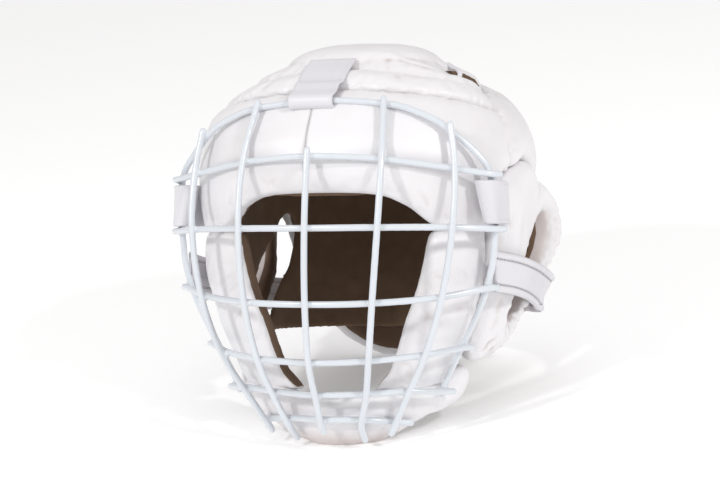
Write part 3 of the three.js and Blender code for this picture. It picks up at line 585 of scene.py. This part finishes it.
def seam_groove():
    """The line that a seam draws in leather: 1 at the seam, 0 beside it, and a
    soft valley that is wider than the line."""
    group, given, result = node_group(
        "seam groove", [("Width", "NodeSocketFloat", 0.55)], ["Line", "Valley"])
    far = arithmetic(group, "ABSOLUTE", kept_value(group, "seam offset"))
    near = kept_value(group, "seam near")
    for label, reach in (("Line", given.outputs["Width"]), ("Valley", 1.8)):
        fade = stretch(group, far, 0.0, reach, 1.0, 0.0, interpolation_type="SMOOTHSTEP")
        group.links.new(arithmetic(group, "MULTIPLY", fade, near), result.inputs[label])
    return group


GRAIN = leather_grain()
CREASES = creases()
GROOVE = seam_groove()


def finish_of(name, roughness, **sockets):
    material = bpy.data.materials.new(name)
    material.use_nodes = True
    tree = material.node_tree
    shader = tree.nodes["Principled BSDF"]
    shader.inputs["Roughness"].default_value = roughness
    for label, value in sockets.items():
        shader.inputs[label.replace("_", " ")].default_value = value
    return material, tree, shader, tree.nodes.new("ShaderNodeTexCoord").outputs["Object"]


def leather(name, tone, shade, roughness=0.4, grain=0.00006, crease=0.00025, cell=850.0,
            seams_and_shade=False):
    material, tree, shader, place = finish_of(
        name, roughness, Specular_IOR_Level=0.5, Coat_Weight=0.06, Coat_Roughness=0.3)
    pebbles = add_node(tree, "Group", {"Place": place, "Cell size": cell}, node_tree=GRAIN)
    patches = pebbles.outputs["Patches"]
    lines = add_node(tree, "Group", {"Place": place}, node_tree=CREASES)
    colour = blend(tree, stretch(tree, patches, 0.35, 0.6), (*shade, 1), (*tone, 1))
    gloss = stretch(tree, patches, 0, 1, roughness + 0.08, roughness - 0.06)
    skin = relief(tree, pebbles.outputs["Height"], 0.55, grain)
    skin = relief(tree, lines.outputs["Height"], 0.5, crease, skin, invert=True)
    # With this on, the seam lines are drawn, and the painted shade and the suede brown that the
    # pads keep are laid on.
    if seams_and_shade:
        groove = add_node(tree, "Group", {}, node_tree=GROOVE)
        painted_shade_tone = (shade[0] * 0.72, shade[1] * 0.64, shade[2] * 0.6, 1)
        dark = (*[c * 0.42 for c in shade], 1)
        suede_and_wall_shade = stretch(tree, kept_value(tree, "suede_and_wall_shade"), 0.45, 0.55)
        # Painted shade: darker, warmer leather in creases, on the chin pad's underside and in the
        # walls of openings.
        colour = blend(tree, kept_value(tree, "painted_shade"), colour, painted_shade_tone)
        colour = blend(tree, groove.outputs["Line"], colour, dark)
        # Suede brown where a pad's back looks at the head, and the same brown as painted shade in
        # the walls of openings.
        colour = blend(tree, suede_and_wall_shade, colour, (*BROWN, 1))
        matt = add_node(tree, "Mix", {"Factor": suede_and_wall_shade, "A": gloss, "B": 0.95})
        gloss = matt.outputs["Result"]
        skin = relief(tree, groove.outputs["Valley"], 0.8, 0.0012, skin, invert=True)
    tree.links.new(colour, shader.inputs["Base Color"])
    tree.links.new(gloss, shader.inputs["Roughness"])
    tree.links.new(skin, shader.inputs["Normal"])
    return material


def suede(name, tone, shade):
    material, tree, shader, place = finish_of(
        name, 0.95, Sheen_Weight=0.35, Sheen_Roughness=0.4, Specular_IOR_Level=0.2)
    nap = mottle(tree, place, 45, 8, 0.65)
    tree.links.new(blend(tree, nap, (*shade, 1), (*tone, 1)), shader.inputs["Base Color"])
    hairs = relief(tree, mottle(tree, place, 1500, 3), 0.5, 0.0002)
    tree.links.new(hairs, shader.inputs["Normal"])
    return material


def dipped_coating(name, tone):
    """Thick plastic that the welded grille was dipped in."""
    material, tree, shader, place = finish_of(
        name, 0.22, Specular_IOR_Level=0.55, Coat_Weight=0.25, Coat_Roughness=0.12)
    runs = mottle(tree, place, 130, 2)
    thin = (*[c * 0.95 for c in tone], 1)
    tree.links.new(blend(tree, runs, thin, (*tone, 1)), shader.inputs["Base Color"])
    tree.links.new(relief(tree, runs, 0.3, 0.0003), shader.inputs["Normal"])
    return material


WHITE = leather("white leather", (0.81, 0.797, 0.812), (0.77, 0.748, 0.76), seams_and_shade=True)
STRAP_WHITE = leather("strap leather", (0.71, 0.7, 0.73), (0.66, 0.645, 0.68), roughness=0.46,
                      crease=0.00012, cell=1100.0, seams_and_shade=True)
SUEDE = suede("brown suede", (0.25, 0.165, 0.11), (0.12, 0.075, 0.045))
COATING = dipped_coating("white coating", (0.69, 0.725, 0.77))
THREAD = leather("sewing thread", (0.72, 0.7, 0.72), (0.62, 0.6, 0.62), roughness=0.7)


def dress(piece, material):
    piece.data.materials.clear()
    piece.data.materials.append(material)


# ------------------------------------------------------------ headguard pads
forehead = leather_pad("forehead_pad", "forehead_leather")
crown = leather_pad("crown_band", "crown_band_leather", voxel=2.6, rounds=4)
cap = leather_pad("top_cap", "top_cap_leather", voxel=2.2, rounds=4)
back = leather_pad("back_panel", "back_leather", voxel=3.8, rounds=5)
chin = leather_pad("chin_pad", "chin_leather", voxel=2.4, rounds=6)
ears = [leather_pad(f"ear_guard_{side}", f"ear_leather_{side}", voxel=2.6, rounds=7)
        for side in ("left", "right")]
cheeks = [leather_pad(f"cheek_pad_{side}", f"cheek_leather_{side}", voxel=2.4, rounds=6)
          for side in ("left", "right")]
PADS = [forehead, crown, cap, back, chin, *ears, *cheeks]
fill_with_foam(PADS)
for pad in PADS:
    finer(pad)

# Seams pull the leather in, and pucker it beside them.
fold(forehead, CENTRE_LINE, 2.2, -0.9)
gathers(forehead, BROW_LINE, 11, 0.35, 9, seed=1)
gathers(crown, BROW_LINE, 9, 0.4, 8, seed=2)
gathers(crown, CAP_LINE, 10, 0.35, 8, seed=3)
gathers(cap, CAP_LINE, 11, 0.4, 9, seed=4)
gathers(cap, LENS_LINE, 14, 0.3, 7, seed=5)
gathers(back, SIDE_LINE, 9, 0.5, 10, seed=6)
gathers(back, BACK_LINE, 12, 0.45, 10, seed=7)
fold(cap, LENS_LINE, 3.0, -0.5)
fold(cap, CAP_FOLD, 2.0, -1.6)
fold(cap, [p + Vector((0, 1, 4)) for p in CAP_FOLD], 3.5, 1.0)
fold(back, BACK_CENTRE, 2.6, -0.9)
gathers(back, BACK_CENTRE, 13, 0.5, 12, seed=21)
fold(back, NAPE_FOLD, 7, -1.3)
fold(back, [p + Vector((0, 0, 17)) for p in NAPE_FOLD], 8, 0.9)
fold(cap, SLOT_BACK, 4.0, 2.2, sides=(1, -1))
fold(cap, SLOT_FRONT, 5.0, -2.4, sides=(1, -1))
soft_dents(forehead, 34, 0.9, 1.5)
soft_dents(crown, 24, 0.7, 2.5)
soft_dents(cap, 30, 0.9, 3.5)
soft_dents(back, 38, 1.3, 4.5)
soft_dents(chin, 26, 0.8, 5.5)
for pad in cheeks:
    soft_dents(pad, 24, 1.0, 6.5)
    lengthen(pad, -76, -94, 4.5)
lengthen(chin, -112, -99, -2.2)
# Lines on an ear guard, seen from the side: its folds, the roll behind the
# opening and the roll below it.
EAR_FOLD = [on_side(-20, 34), on_side(-22, 14), on_side(-26, -4), on_side(-28, -24)]
EAR_VALLEY = [on_side(-34, 12), on_side(-37, -8), on_side(-37, -30), on_side(-32, -52)]
EAR_BACK = [on_side(y, z, 14)
            for y, z in [(60, 24), (66, 16), (66, 4), (60, -7), (51, -26), (33, -42)]]
EAR_FOOT = [on_side(y, z, 2)
            for y, z in [(40, -35), (33, -42), (14, -57), (-6, -68), (-22, -76), (-32, -70)]]
for pad, sign in zip(ears, (1, -1)):
    gathers(pad, mirrored(EAR_LINE, sign), 8.5, 0.7, 11, seed=8 + sign)
    gathers(pad, mirrored(EAR_BACK, sign), 9, 0.8, 13, seed=12 + sign)
    gathers(pad, mirrored(EAR_FOOT, sign), 8, 1.3, 10, seed=15 + sign)
    fold(pad, EAR_FOLD, 7, 1.9, sides=(sign,))
    fold(pad, EAR_VALLEY, 7, -1.7, sides=(sign,))
    soft_dents(pad, 22, 0.9, 8.5)
SEAMS = {forehead: [CENTRE_LINE], back: [BACK_CENTRE]}
OPENINGS = {cap: [(mirrored(SLOT_MIDDLE, sign), -3, 9.0, 0.62) for sign in (1, -1)]}
for pad, sign in zip(ears, (1, -1)):
    OPENINGS[pad] = [(mirrored(EAR_LINE, sign), 7.5, 18.0, 0.2)]
# A pad is suede on its back from this turn on. The chin pad is leather all round,
# with no suede back, and painted shade darkens it below a level.
BACKING, NO_BACKING = -0.35, -9
SHADED_BELOW = -128
for pad in PADS:
    openings = OPENINGS.get(pad, [])
    mark_seams(pad, *SEAMS.get(pad, []))
    mark_suede_and_wall_shade(pad, NO_BACKING if pad is chin else BACKING, openings)
    mark_painted_shade(pad, openings, under=SHADED_BELOW if pad is chin else None)
    dress(pad, WHITE)

# ------------------------------------------------------------ lining
lining = copy_of("lining", "suede_lining")
swell(lining, 0.6)
even_mesh(lining, 1.8)
soften(lining, 24)
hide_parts("lining")
dress(lining, SUEDE)

# ------------------------------------------------------------ grille
# The same routes as the solids of the wires have, in upright millimetres.
WIRE = 2.4
# How far two wires are melted into each other where they cross.
WELD = 0.2
LEVELS = [
    ((-117.5, 56), (49, -110, 53.5), (93, -92.5, 47), 42.5),
    ((-122.5, 7.7), (49, -118.5, 7.8), (93, -98, 7.6), 6.2),
    ((-122.5, -43.5), (45, -118.5, -42.5), (85.5, -99, -39), -33),
    ((-116.5, -83), (39, -110, -81.5), (72, -95, -78), -73),
    ((-105, -105.5), (33, -99, -104.5), (58, -88, -103), -103),
]
CHIN_LEVEL = ((-96.1, -123), (26.5, -90.6, -123), (55, -70, -126))
FEET = ((-93.4, -130), (25, -80, -136), (44, -80, -131))
TOPS = ((-117, 58.5), (45, -94.4, 92), (88.8, -89, 74.6))
ARCH = [
    (0, -95, 93.5), (35, -93, 91.5), (57, -92, 88), (68.5, -90.5, 83.7), (81, -89, 77.8),
    (88.5, -87, 72), (100.3, -81, 61.4), (111, -77, 48.6), (114, -75.6, 39), (115.5, -74, 20),
    (115, -72.5, 0), (113.5, -72, -16), (109, -71, -33), (103, -70, -48), (95.5, -69, -63),
    (88, -68, -77), (78, -66, -97), (75, -65, -105),
]


def outwards(p, distance):
    """A point of the grille moved away from the middle of the face, in mm."""
    way = Vector(p) - Vector((0, -10, -15))
    way.z *= 0.6
    return Vector(p) + way.normalized() * distance


def smooth_line(points, step=2.0):
    """A centripetal curve through the points, as places about a step apart."""
    p = [Vector(q) for q in points]
    p = [2 * p[0] - p[1], *p, 2 * p[-1] - p[-2]]
    line = []
    for a, b, c, d in zip(p, p[1:], p[2:], p[3:]):
        t1 = (b - a).length ** 0.5
        t2 = t1 + (c - b).length ** 0.5
        t3 = t2 + (d - c).length ** 0.5
        count = max(1, round((c - b).length / step))
        for k in range(count):
            t = t1 + (t2 - t1) * k / count
            ab = a.lerp(b, t / t1)
            bc = b.lerp(c, (t - t1) / (t2 - t1))
            cd = c.lerp(d, (t - t2) / (t3 - t2))
            first, second = ab.lerp(bc, t / t2), bc.lerp(cd, (t - t1) / (t3 - t1))
            line.append(first.lerp(second, (t - t1) / (t2 - t1)))
    return [*line, p[-2]]


def frame_end(z):
    """Where a level wire crosses the frame, and where it ends past it."""
    for (x1, y1, z1), (x2, y2, z2) in zip(ARCH, ARCH[1:]):
        if z1 >= z >= z2:
            t = (z1 - z) / (z1 - z2)
            crossing = Vector((x1 + t * (x2 - x1), y1 + t * (y2 - y1), z))
    out = crossing + Vector((0.66, -0.75, 0)).normalized() * (2 * WIRE - WELD)
    return [out, out + Vector((0.62, 0.78, 0)).normalized() * 6]


def both_sides(middle, half):
    return [*flipped(half)[::-1], *middle, *half]


def wire_routes():
    """The frame, the level wires behind the uprights, and the uprights."""
    rows = [*LEVELS, CHIN_LEVEL]
    routes = [both_sides([ARCH[0]], ARCH[1:])]
    for row in rows:
        half = [outwards(p, WELD - WIRE) for p in row[1:3]]
        if row is not CHIN_LEVEL:
            half += frame_end(row[3])
        routes.append(both_sides([outwards((0, *row[0]), WELD - WIRE)], half))
    middle = [outwards((0, *row[0]), WIRE) for row in [TOPS, *rows]]
    routes.append([*middle, (0, *FEET[0])])
    for k, crossed in ((1, rows), (2, LEVELS)):
        line = [*[outwards(row[k], WIRE) for row in [TOPS, *crossed]], FEET[k]]
        routes += [line, flipped(line)]
    return routes


def drawn_out(name, lines, radius):
    """A bmesh of round wires or cords along lines, with a radius in mm."""
    curve = bpy.data.curves.new(name, "CURVE")
    curve.dimensions = "3D"
    curve.bevel_depth = radius / 1000
    curve.bevel_resolution = 4
    curve.use_fill_caps = True
    for line in lines:
        spline = curve.splines.new("POLY")
        spline.points.add(len(line) - 1)
        for point, place in zip(spline.points, line):
            point.co = (*resting(*place), 1)
    drawn = new_object(name, curve)
    bm = bmesh.new()
    bm.from_mesh(evaluated(drawn))
    bpy.data.objects.remove(drawn)
    return bm


def wire_grille():
    routes = wire_routes()
    bm = drawn_out("wires", [smooth_line(route) for route in routes], WIRE)
    for route in routes:
        for end in (route[0], route[-1]):
            where = Matrix.Translation(resting(*end))
            bmesh.ops.create_icosphere(bm, subdivisions=3, radius=WIRE / 1000, matrix=where)
    grille = new_piece("welded_grille", bm)
    even_mesh(grille, 0.86)
    soften(grille, 4)
    return grille


grille = wire_grille()
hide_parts(*[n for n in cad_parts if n.startswith("wire_")])
dress(grille, COATING)


# ------------------------------------------------------------ straps and loops
def strip_between(name, edges, thick, profile, marks=()):
    """A strip of leather between two edge lines, given as pairs of points from
    its lower and its upper edge; profile(mm from the edge) thickens its face,
    and has a corner of the mesh at each of its marks."""
    face_steps, back_steps, edge_steps = 26, 8, 4
    count = len(edges)
    middles = [(low + high) / 2 for low, high in edges]
    bm = bmesh.new()
    rings = []
    for k, (low, high) in enumerate(edges):
        ahead = (middles[min(count - 1, k + 1)] - middles[max(0, k - 1)]).normalized()
        ways = high - low
        width = ways.length
        ways.normalize()
        face = ahead.cross(ways).normalized()
        # The ends are rounded off as the edges are.
        end = min(k, count - 1 - k)
        thin = (0.55, 0.85, 1.0)[min(end, 2)]
        r = thick / 2 * thin
        section = []
        spots = [r + (width - 2 * r) * i / face_steps for i in range(face_steps + 1)]
        spots += [*marks, *[width - mark for mark in marks]]
        for v in sorted(spots):
            section.append((v, r + profile(min(v, width - v)) * thin))
        for i in range(1, edge_steps):
            a = math.pi / 2 - math.pi * i / edge_steps
            section.append((width - r + r * math.cos(a), r * math.sin(a)))
        for i in range(back_steps + 1):
            section.append((width - r - (width - 2 * r) * i / back_steps, -r))
        for i in range(1, edge_steps):
            a = -math.pi / 2 - math.pi * i / edge_steps
            section.append((r + r * math.cos(a), r * math.sin(a)))
        rings.append([bm.verts.new(resting(*(low + ways * v + face * h))) for v, h in section])
    for a, b in zip(rings, rings[1:]):
        for i in range(len(a)):
            j = (i + 1) % len(a)
            bm.faces.new((a[i], a[j], b[j], b[i]))
    bm.faces.new(rings[0][::-1])
    bm.faces.new(rings[-1])
    bmesh.ops.recalc_face_normals(bm, faces=bm.faces[:])
    return new_piece(name, bm)


def edge_lines(lower, upper, step=2.5):
    """Pairs of points at equal shares along two lines."""
    low, high = smooth_line(lower, step), smooth_line(upper, step)
    count = max(len(low), len(high)) - 1

    def at(line, share):
        k = min(len(line) - 2, int(share * (len(line) - 1)))
        return line[k].lerp(line[k + 1], share * (len(line) - 1) - k)

    return [(at(low, k / count), at(high, k / count)) for k in range(count + 1)]


def sewn_row(name, edges, inset, lift, stitch=3.4, gap=1.2, radius=0.34):
    """A row of stitches along a strip, a little in from its lower edge, or from
    its upper one where the inset is below 0."""
    spots = []
    count = len(edges)
    for k, (low, high) in enumerate(edges):
        near = [(p[0] + p[1]) / 2 for p in (edges[min(count - 1, k + 1)], edges[max(0, k - 1)])]
        ways = (high - low).normalized()
        face = (near[0] - near[1]).cross(ways).normalized()
        base = low if inset > 0 else high
        spots.append(base + ways * inset + face * lift)
    bm = bmesh.new()
    for start, end in dashes(spots, stitch, gap):
        way = (end - start).normalized()
        turn = way.to_track_quat("Z", "Y").to_matrix().to_4x4()
        grow = Matrix.Diagonal((radius, radius, (end - start).length / 2, 1))
        at = Matrix.Translation((start + end) / 2)
        bmesh.ops.create_uvsphere(bm, u_segments=6, v_segments=5, radius=1,
                                  matrix=REST @ at @ turn @ grow)
    return new_piece(name, bm)


def dashes(points, stitch, gap):
    """The starts and ends of stitches along a line of points."""
    lengths = [0.0]
    for a, b in zip(points, points[1:]):
        lengths.append(lengths[-1] + (b - a).length)

    def at(distance):
        k = 0
        while k < len(points) - 2 and lengths[k + 1] < distance:
            k += 1
        t = (distance - lengths[k]) / max(1e-6, lengths[k + 1] - lengths[k])
        return points[k].lerp(points[k + 1], t)

    found = []
    place = gap
    while place + stitch < lengths[-1]:
        found.append((at(place), at(place + stitch)))
        place += stitch + gap
    return found


STRAP_WIDE = 28
# How far the nape strap's sewn channels are from its edges.
CHANNEL = 5.4


def rolled(edge):
    """Rolled edges with a sewn channel inside each of them."""
    groove = 0.5 * math.exp(-((edge - CHANNEL) / 0.4) ** 2)
    if edge < CHANNEL:
        return 1.2 * math.sin(math.pi * min(1, edge / CHANNEL)) ** 0.7 - groove
    return 0.7 * min(1.0, (edge - CHANNEL) / 2.0) ** 0.5 - groove


def turned_in(edge):
    """An edge that is turned in and sewn down: a slight ridge along it."""
    return 0.35 * math.exp(-((edge - 1.2) / 1.1) ** 2)


# Nape strap: x, y, z, and the degrees that it leans in below.
STRAP = [
    (0, 112, -56, 20), (27, 110, -55, 20), (49.5, 103.4, -52, 20), (75, 87.2, -47, 21),
    (91.5, 70, -43, 24), (105.2, 55, -40.5, 28), (116.1, 40, -38.5, 31), (118.5, 14, -32.5, 22),
    (119.3, -14, -28, 10), (118, -42, -24.5, 3), (112.6, -65.5, -22, 0),
]


def strap_edges():
    """The strap's edge lines. Its lean follows x round the nape, as far as the
    corner at STRAP[6], and y along the side in front of it. Its front end is
    within the x of the nape too, so it stands steeper just behind the corner."""
    route = smooth_line(both_sides([STRAP[0][:3]], [row[:3] for row in STRAP[1:]]), 2.5)
    corner_x, corner_y = STRAP[6][:2]
    nape = sorted((x, lean) for x, _, _, lean in STRAP if x <= corner_x)
    side = sorted((y, lean) for _, y, _, lean in STRAP if y <= corner_y)
    edges = []
    for k, place in enumerate(route):
        ahead = route[min(len(route) - 1, k + 1)] - route[max(0, k - 1)]
        level = ahead.cross(Vector((0, 0, 1))).normalized()
        if place.y < corner_y:
            lean = math.radians(look_up(side, 1, place.y))
        else:
            lean = math.radians(look_up(nape, 1, min(corner_x, abs(place.x))))
        ways = Vector((0, 0, math.cos(lean))) - Vector((level.x, level.y, 0)) * math.sin(lean)
        edges.append((place + ways * STRAP_WIDE / 2, place - ways * STRAP_WIDE / 2))
    return edges


strap_edge_lines = strap_edges()
strap = strip_between("nape_strap_leather", strap_edge_lines, 2.8, rolled,
                      marks=[CHANNEL + off for off in (-0.9, -0.4, -0.2, 0, 0.2, 0.4, 0.9)])
GROOVES = [[low.lerp(high, share) for low, high in strap_edge_lines]
           for share in (CHANNEL / STRAP_WIDE, 1 - CHANNEL / STRAP_WIDE)]
mark_seams(strap, *GROOVES, reach=6)
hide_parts("nape_strap")

# Temple loop in plan: x and y of its upper edge, then of its lower one. The
# edges are at two levels.
SIDE_LOOP_HIGH, SIDE_LOOP_LOW = 38.5, 9.5
SIDE_LOOP = [
    (104.5, -68, 110, -68), (103.4, -76, 110, -76), (105.6, -82, 111.6, -80),
    (111, -83.5, 114.6, -81), (116, -80.5, 118.4, -79), (119, -75, 120.4, -74),
    (118.9, -66, 120, -66), (117, -54, 118.6, -54), (114.5, -43, 115.6, -43),
    (113.7, -38, 114.8, -38),
]
strips = [strap]
rows = [sewn_row("strap_stitches_low", strap_edge_lines, CHANNEL, 1.75),
        sewn_row("strap_stitches_high", strap_edge_lines, -CHANNEL, 1.75)]
for side, sign in (("left", 1), ("right", -1)):
    upper = [(x * sign, y, SIDE_LOOP_HIGH) for x, y, _, _ in SIDE_LOOP]
    lower = [(x * sign, y, SIDE_LOOP_LOW) for _, _, x, y in SIDE_LOOP]
    if sign < 0:
        upper, lower = upper[::-1], lower[::-1]
    edges = edge_lines(lower, upper, 1.5)
    loop = strip_between(f"side_loop_leather_{side}", edges, 2.0, turned_in)
    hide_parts(f"side_loop_{side}")
    strips.append(loop)
    rows.append(sewn_row(f"side_loop_stitches_{side}_low", edges, 2.6, 1.1, radius=0.26))
    rows.append(sewn_row(f"side_loop_stitches_{side}_high", edges, -2.6, 1.1, radius=0.26))

# Loop over the brow: y and z of its middle, round the wire, then up to the
# cap, where it is wider. It stands a little to the right of the middle.
TOP_LOOP_ROUND = [(-94.2, 88.8), (-96.6, 89.0), (-98.9, 90.9), (-99.6, 93.6), (-98.6, 96.2),
                  (-95.4, 98.0), (-90.5, 100.8), (-85, 105.6)]
TOP_LOOP_UP = [(-80.1, 107.6), (-72.9, 113.6), (-64.8, 119.1), (-60.5, 121.9), (-57.4, 124.4)]
TOP_LOOP_X = -6


def top_loop_edge(side):
    return [(TOP_LOOP_X + side * half, y, z)
            for half, part in ((16.2, TOP_LOOP_ROUND), (17, TOP_LOOP_UP)) for y, z in part]


edges = edge_lines(top_loop_edge(1), top_loop_edge(-1), 1.5)
top_loop = strip_between("top_loop_leather", edges, 2.0, turned_in)
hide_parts("top_loop")
strips.append(top_loop)
rows.append(sewn_row("top_loop_stitches_left", edges, 2.4, 1.05, radius=0.26))
rows.append(sewn_row("top_loop_stitches_right", edges, -2.4, 1.05, radius=0.26))
for piece in strips:
    dress(piece, STRAP_WHITE)
for piece in rows:
    dress(piece, THREAD)


# ------------------------------------------------------------ crown laces
# How far the lace reaches back across the slot, and its height on the crown.
LACE = [
    (-12, -1.5), (-10.5, 1.2), (-7, 2.4), (-3, 2.2), (0, 1.8), (3, 2.2), (7, 2.4), (10.5, 1.2),
    (12, -1.5),
]
LACE_RADIUS = 1.7
# Where it crosses the slot, as a share of the slot's run.
LACE_AT = 0.27


def lace(name, sign):
    """A round cord across a slot, with its ends gone down into the leather."""
    middle = SLOT_START + SLOT_RUN * LACE_AT
    across = Vector((-SLOT_RUN.y, SLOT_RUN.x, 0)).normalized()
    spots = [(middle + across * reach, out) for reach, out in LACE]
    route = mirrored([on_crown(p.x, p.y, out) for p, out in spots], sign)
    return new_piece(name, drawn_out(name, [smooth_line(route, 0.8)], LACE_RADIUS))


for side, sign in (("left", 1), ("right", -1)):
    cord = lace(f"crown_lace_cord_{side}", sign)
    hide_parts(f"crown_lace_{side}")
    dress(cord, STRAP_WHITE)

# ------------------------------------------------------------ floor and light
bm = bmesh.new()
bmesh.ops.create_grid(bm, x_segments=1, y_segments=1, size=9)
floor = new_object("floor", new_mesh("floor", bm))
paper, _, shader, _ = finish_of(
    "pale paper", 0.8, Specular_IOR_Level=0.1, Base_Color=(0.93, 0.93, 0.93, 1),
    Emission_Color=(1, 1, 1, 1), Emission_Strength=0.2)
dress(floor, paper)


def studio():
    """Light from all round, and a wall of its own for what the camera sees."""
    world = bpy.data.worlds.new("studio")
    world.use_nodes = True
    tree = world.node_tree
    sky = tree.nodes["Background"]
    sky.inputs["Color"].default_value = (1, 0.99, 0.985, 1)
    sky.inputs["Strength"].default_value = 0.7
    wall = add_node(tree, "Background", {})
    seen = add_node(tree, "LightPath", {})
    either = add_node(tree, "MixShader", {
        0: seen.outputs["Is Camera Ray"], 1: sky.outputs[0], 2: wall.outputs[0]})
    tree.links.new(either.outputs[0], tree.nodes["World Output"].inputs["Surface"])
    return world


def soft_box(name, place, power, size):
    light = bpy.data.lights.new(name, "AREA")
    light.energy = power
    light.shape = "SQUARE"
    light.size = size
    lamp = new_object(name, light)
    lamp.location = place
    aim = Vector((0, -0.03, 0.12)) - Vector(place)
    lamp.rotation_euler = aim.to_track_quat("-Z", "Y").to_euler()


bpy.context.scene.world = studio()
soft_box("key_left", (-0.75, -1.5, 1.35), 11.5, 0.17)
soft_box("key_right", (1.5, -0.75, 1.35), 11.5, 0.17)

# ------------------------------------------------------------ camera
# It looks at the middle of the helmet from its left, a little rolled. The
# distance, the lens and the sensor are in mm, the shift in widths.
YAW = math.radians(21)
ROLL = math.radians(-0.35)
DISTANCE = 1400
LENS, SENSOR = 97.22, 36
SHIFT = -1 / 60


def camera_turn():
    behind = Vector((math.sin(YAW), -math.cos(YAW), 0))
    right = Vector((math.cos(YAW), math.sin(YAW), 0))
    across = right * math.cos(ROLL) + Vector((0, 0, math.sin(ROLL)))
    upward = Vector((0, 0, math.cos(ROLL))) - right * math.sin(ROLL)
    return Matrix((across, upward, behind)).transposed()


turn = camera_turn()
data = bpy.data.cameras.new("camera")
data.sensor_width = SENSOR
data.lens = LENS
data.shift_x = SHIFT
data.clip_start = 0.05
camera = new_object("camera", data)
camera.matrix_world = (Matrix.Translation(resting(*(turn.col[2] * DISTANCE)))
                       @ (REST.to_3x3().normalized() @ turn).to_4x4())
bpy.context.scene.camera = camera
bpy.context.scene.view_settings.view_transform = "Standard"
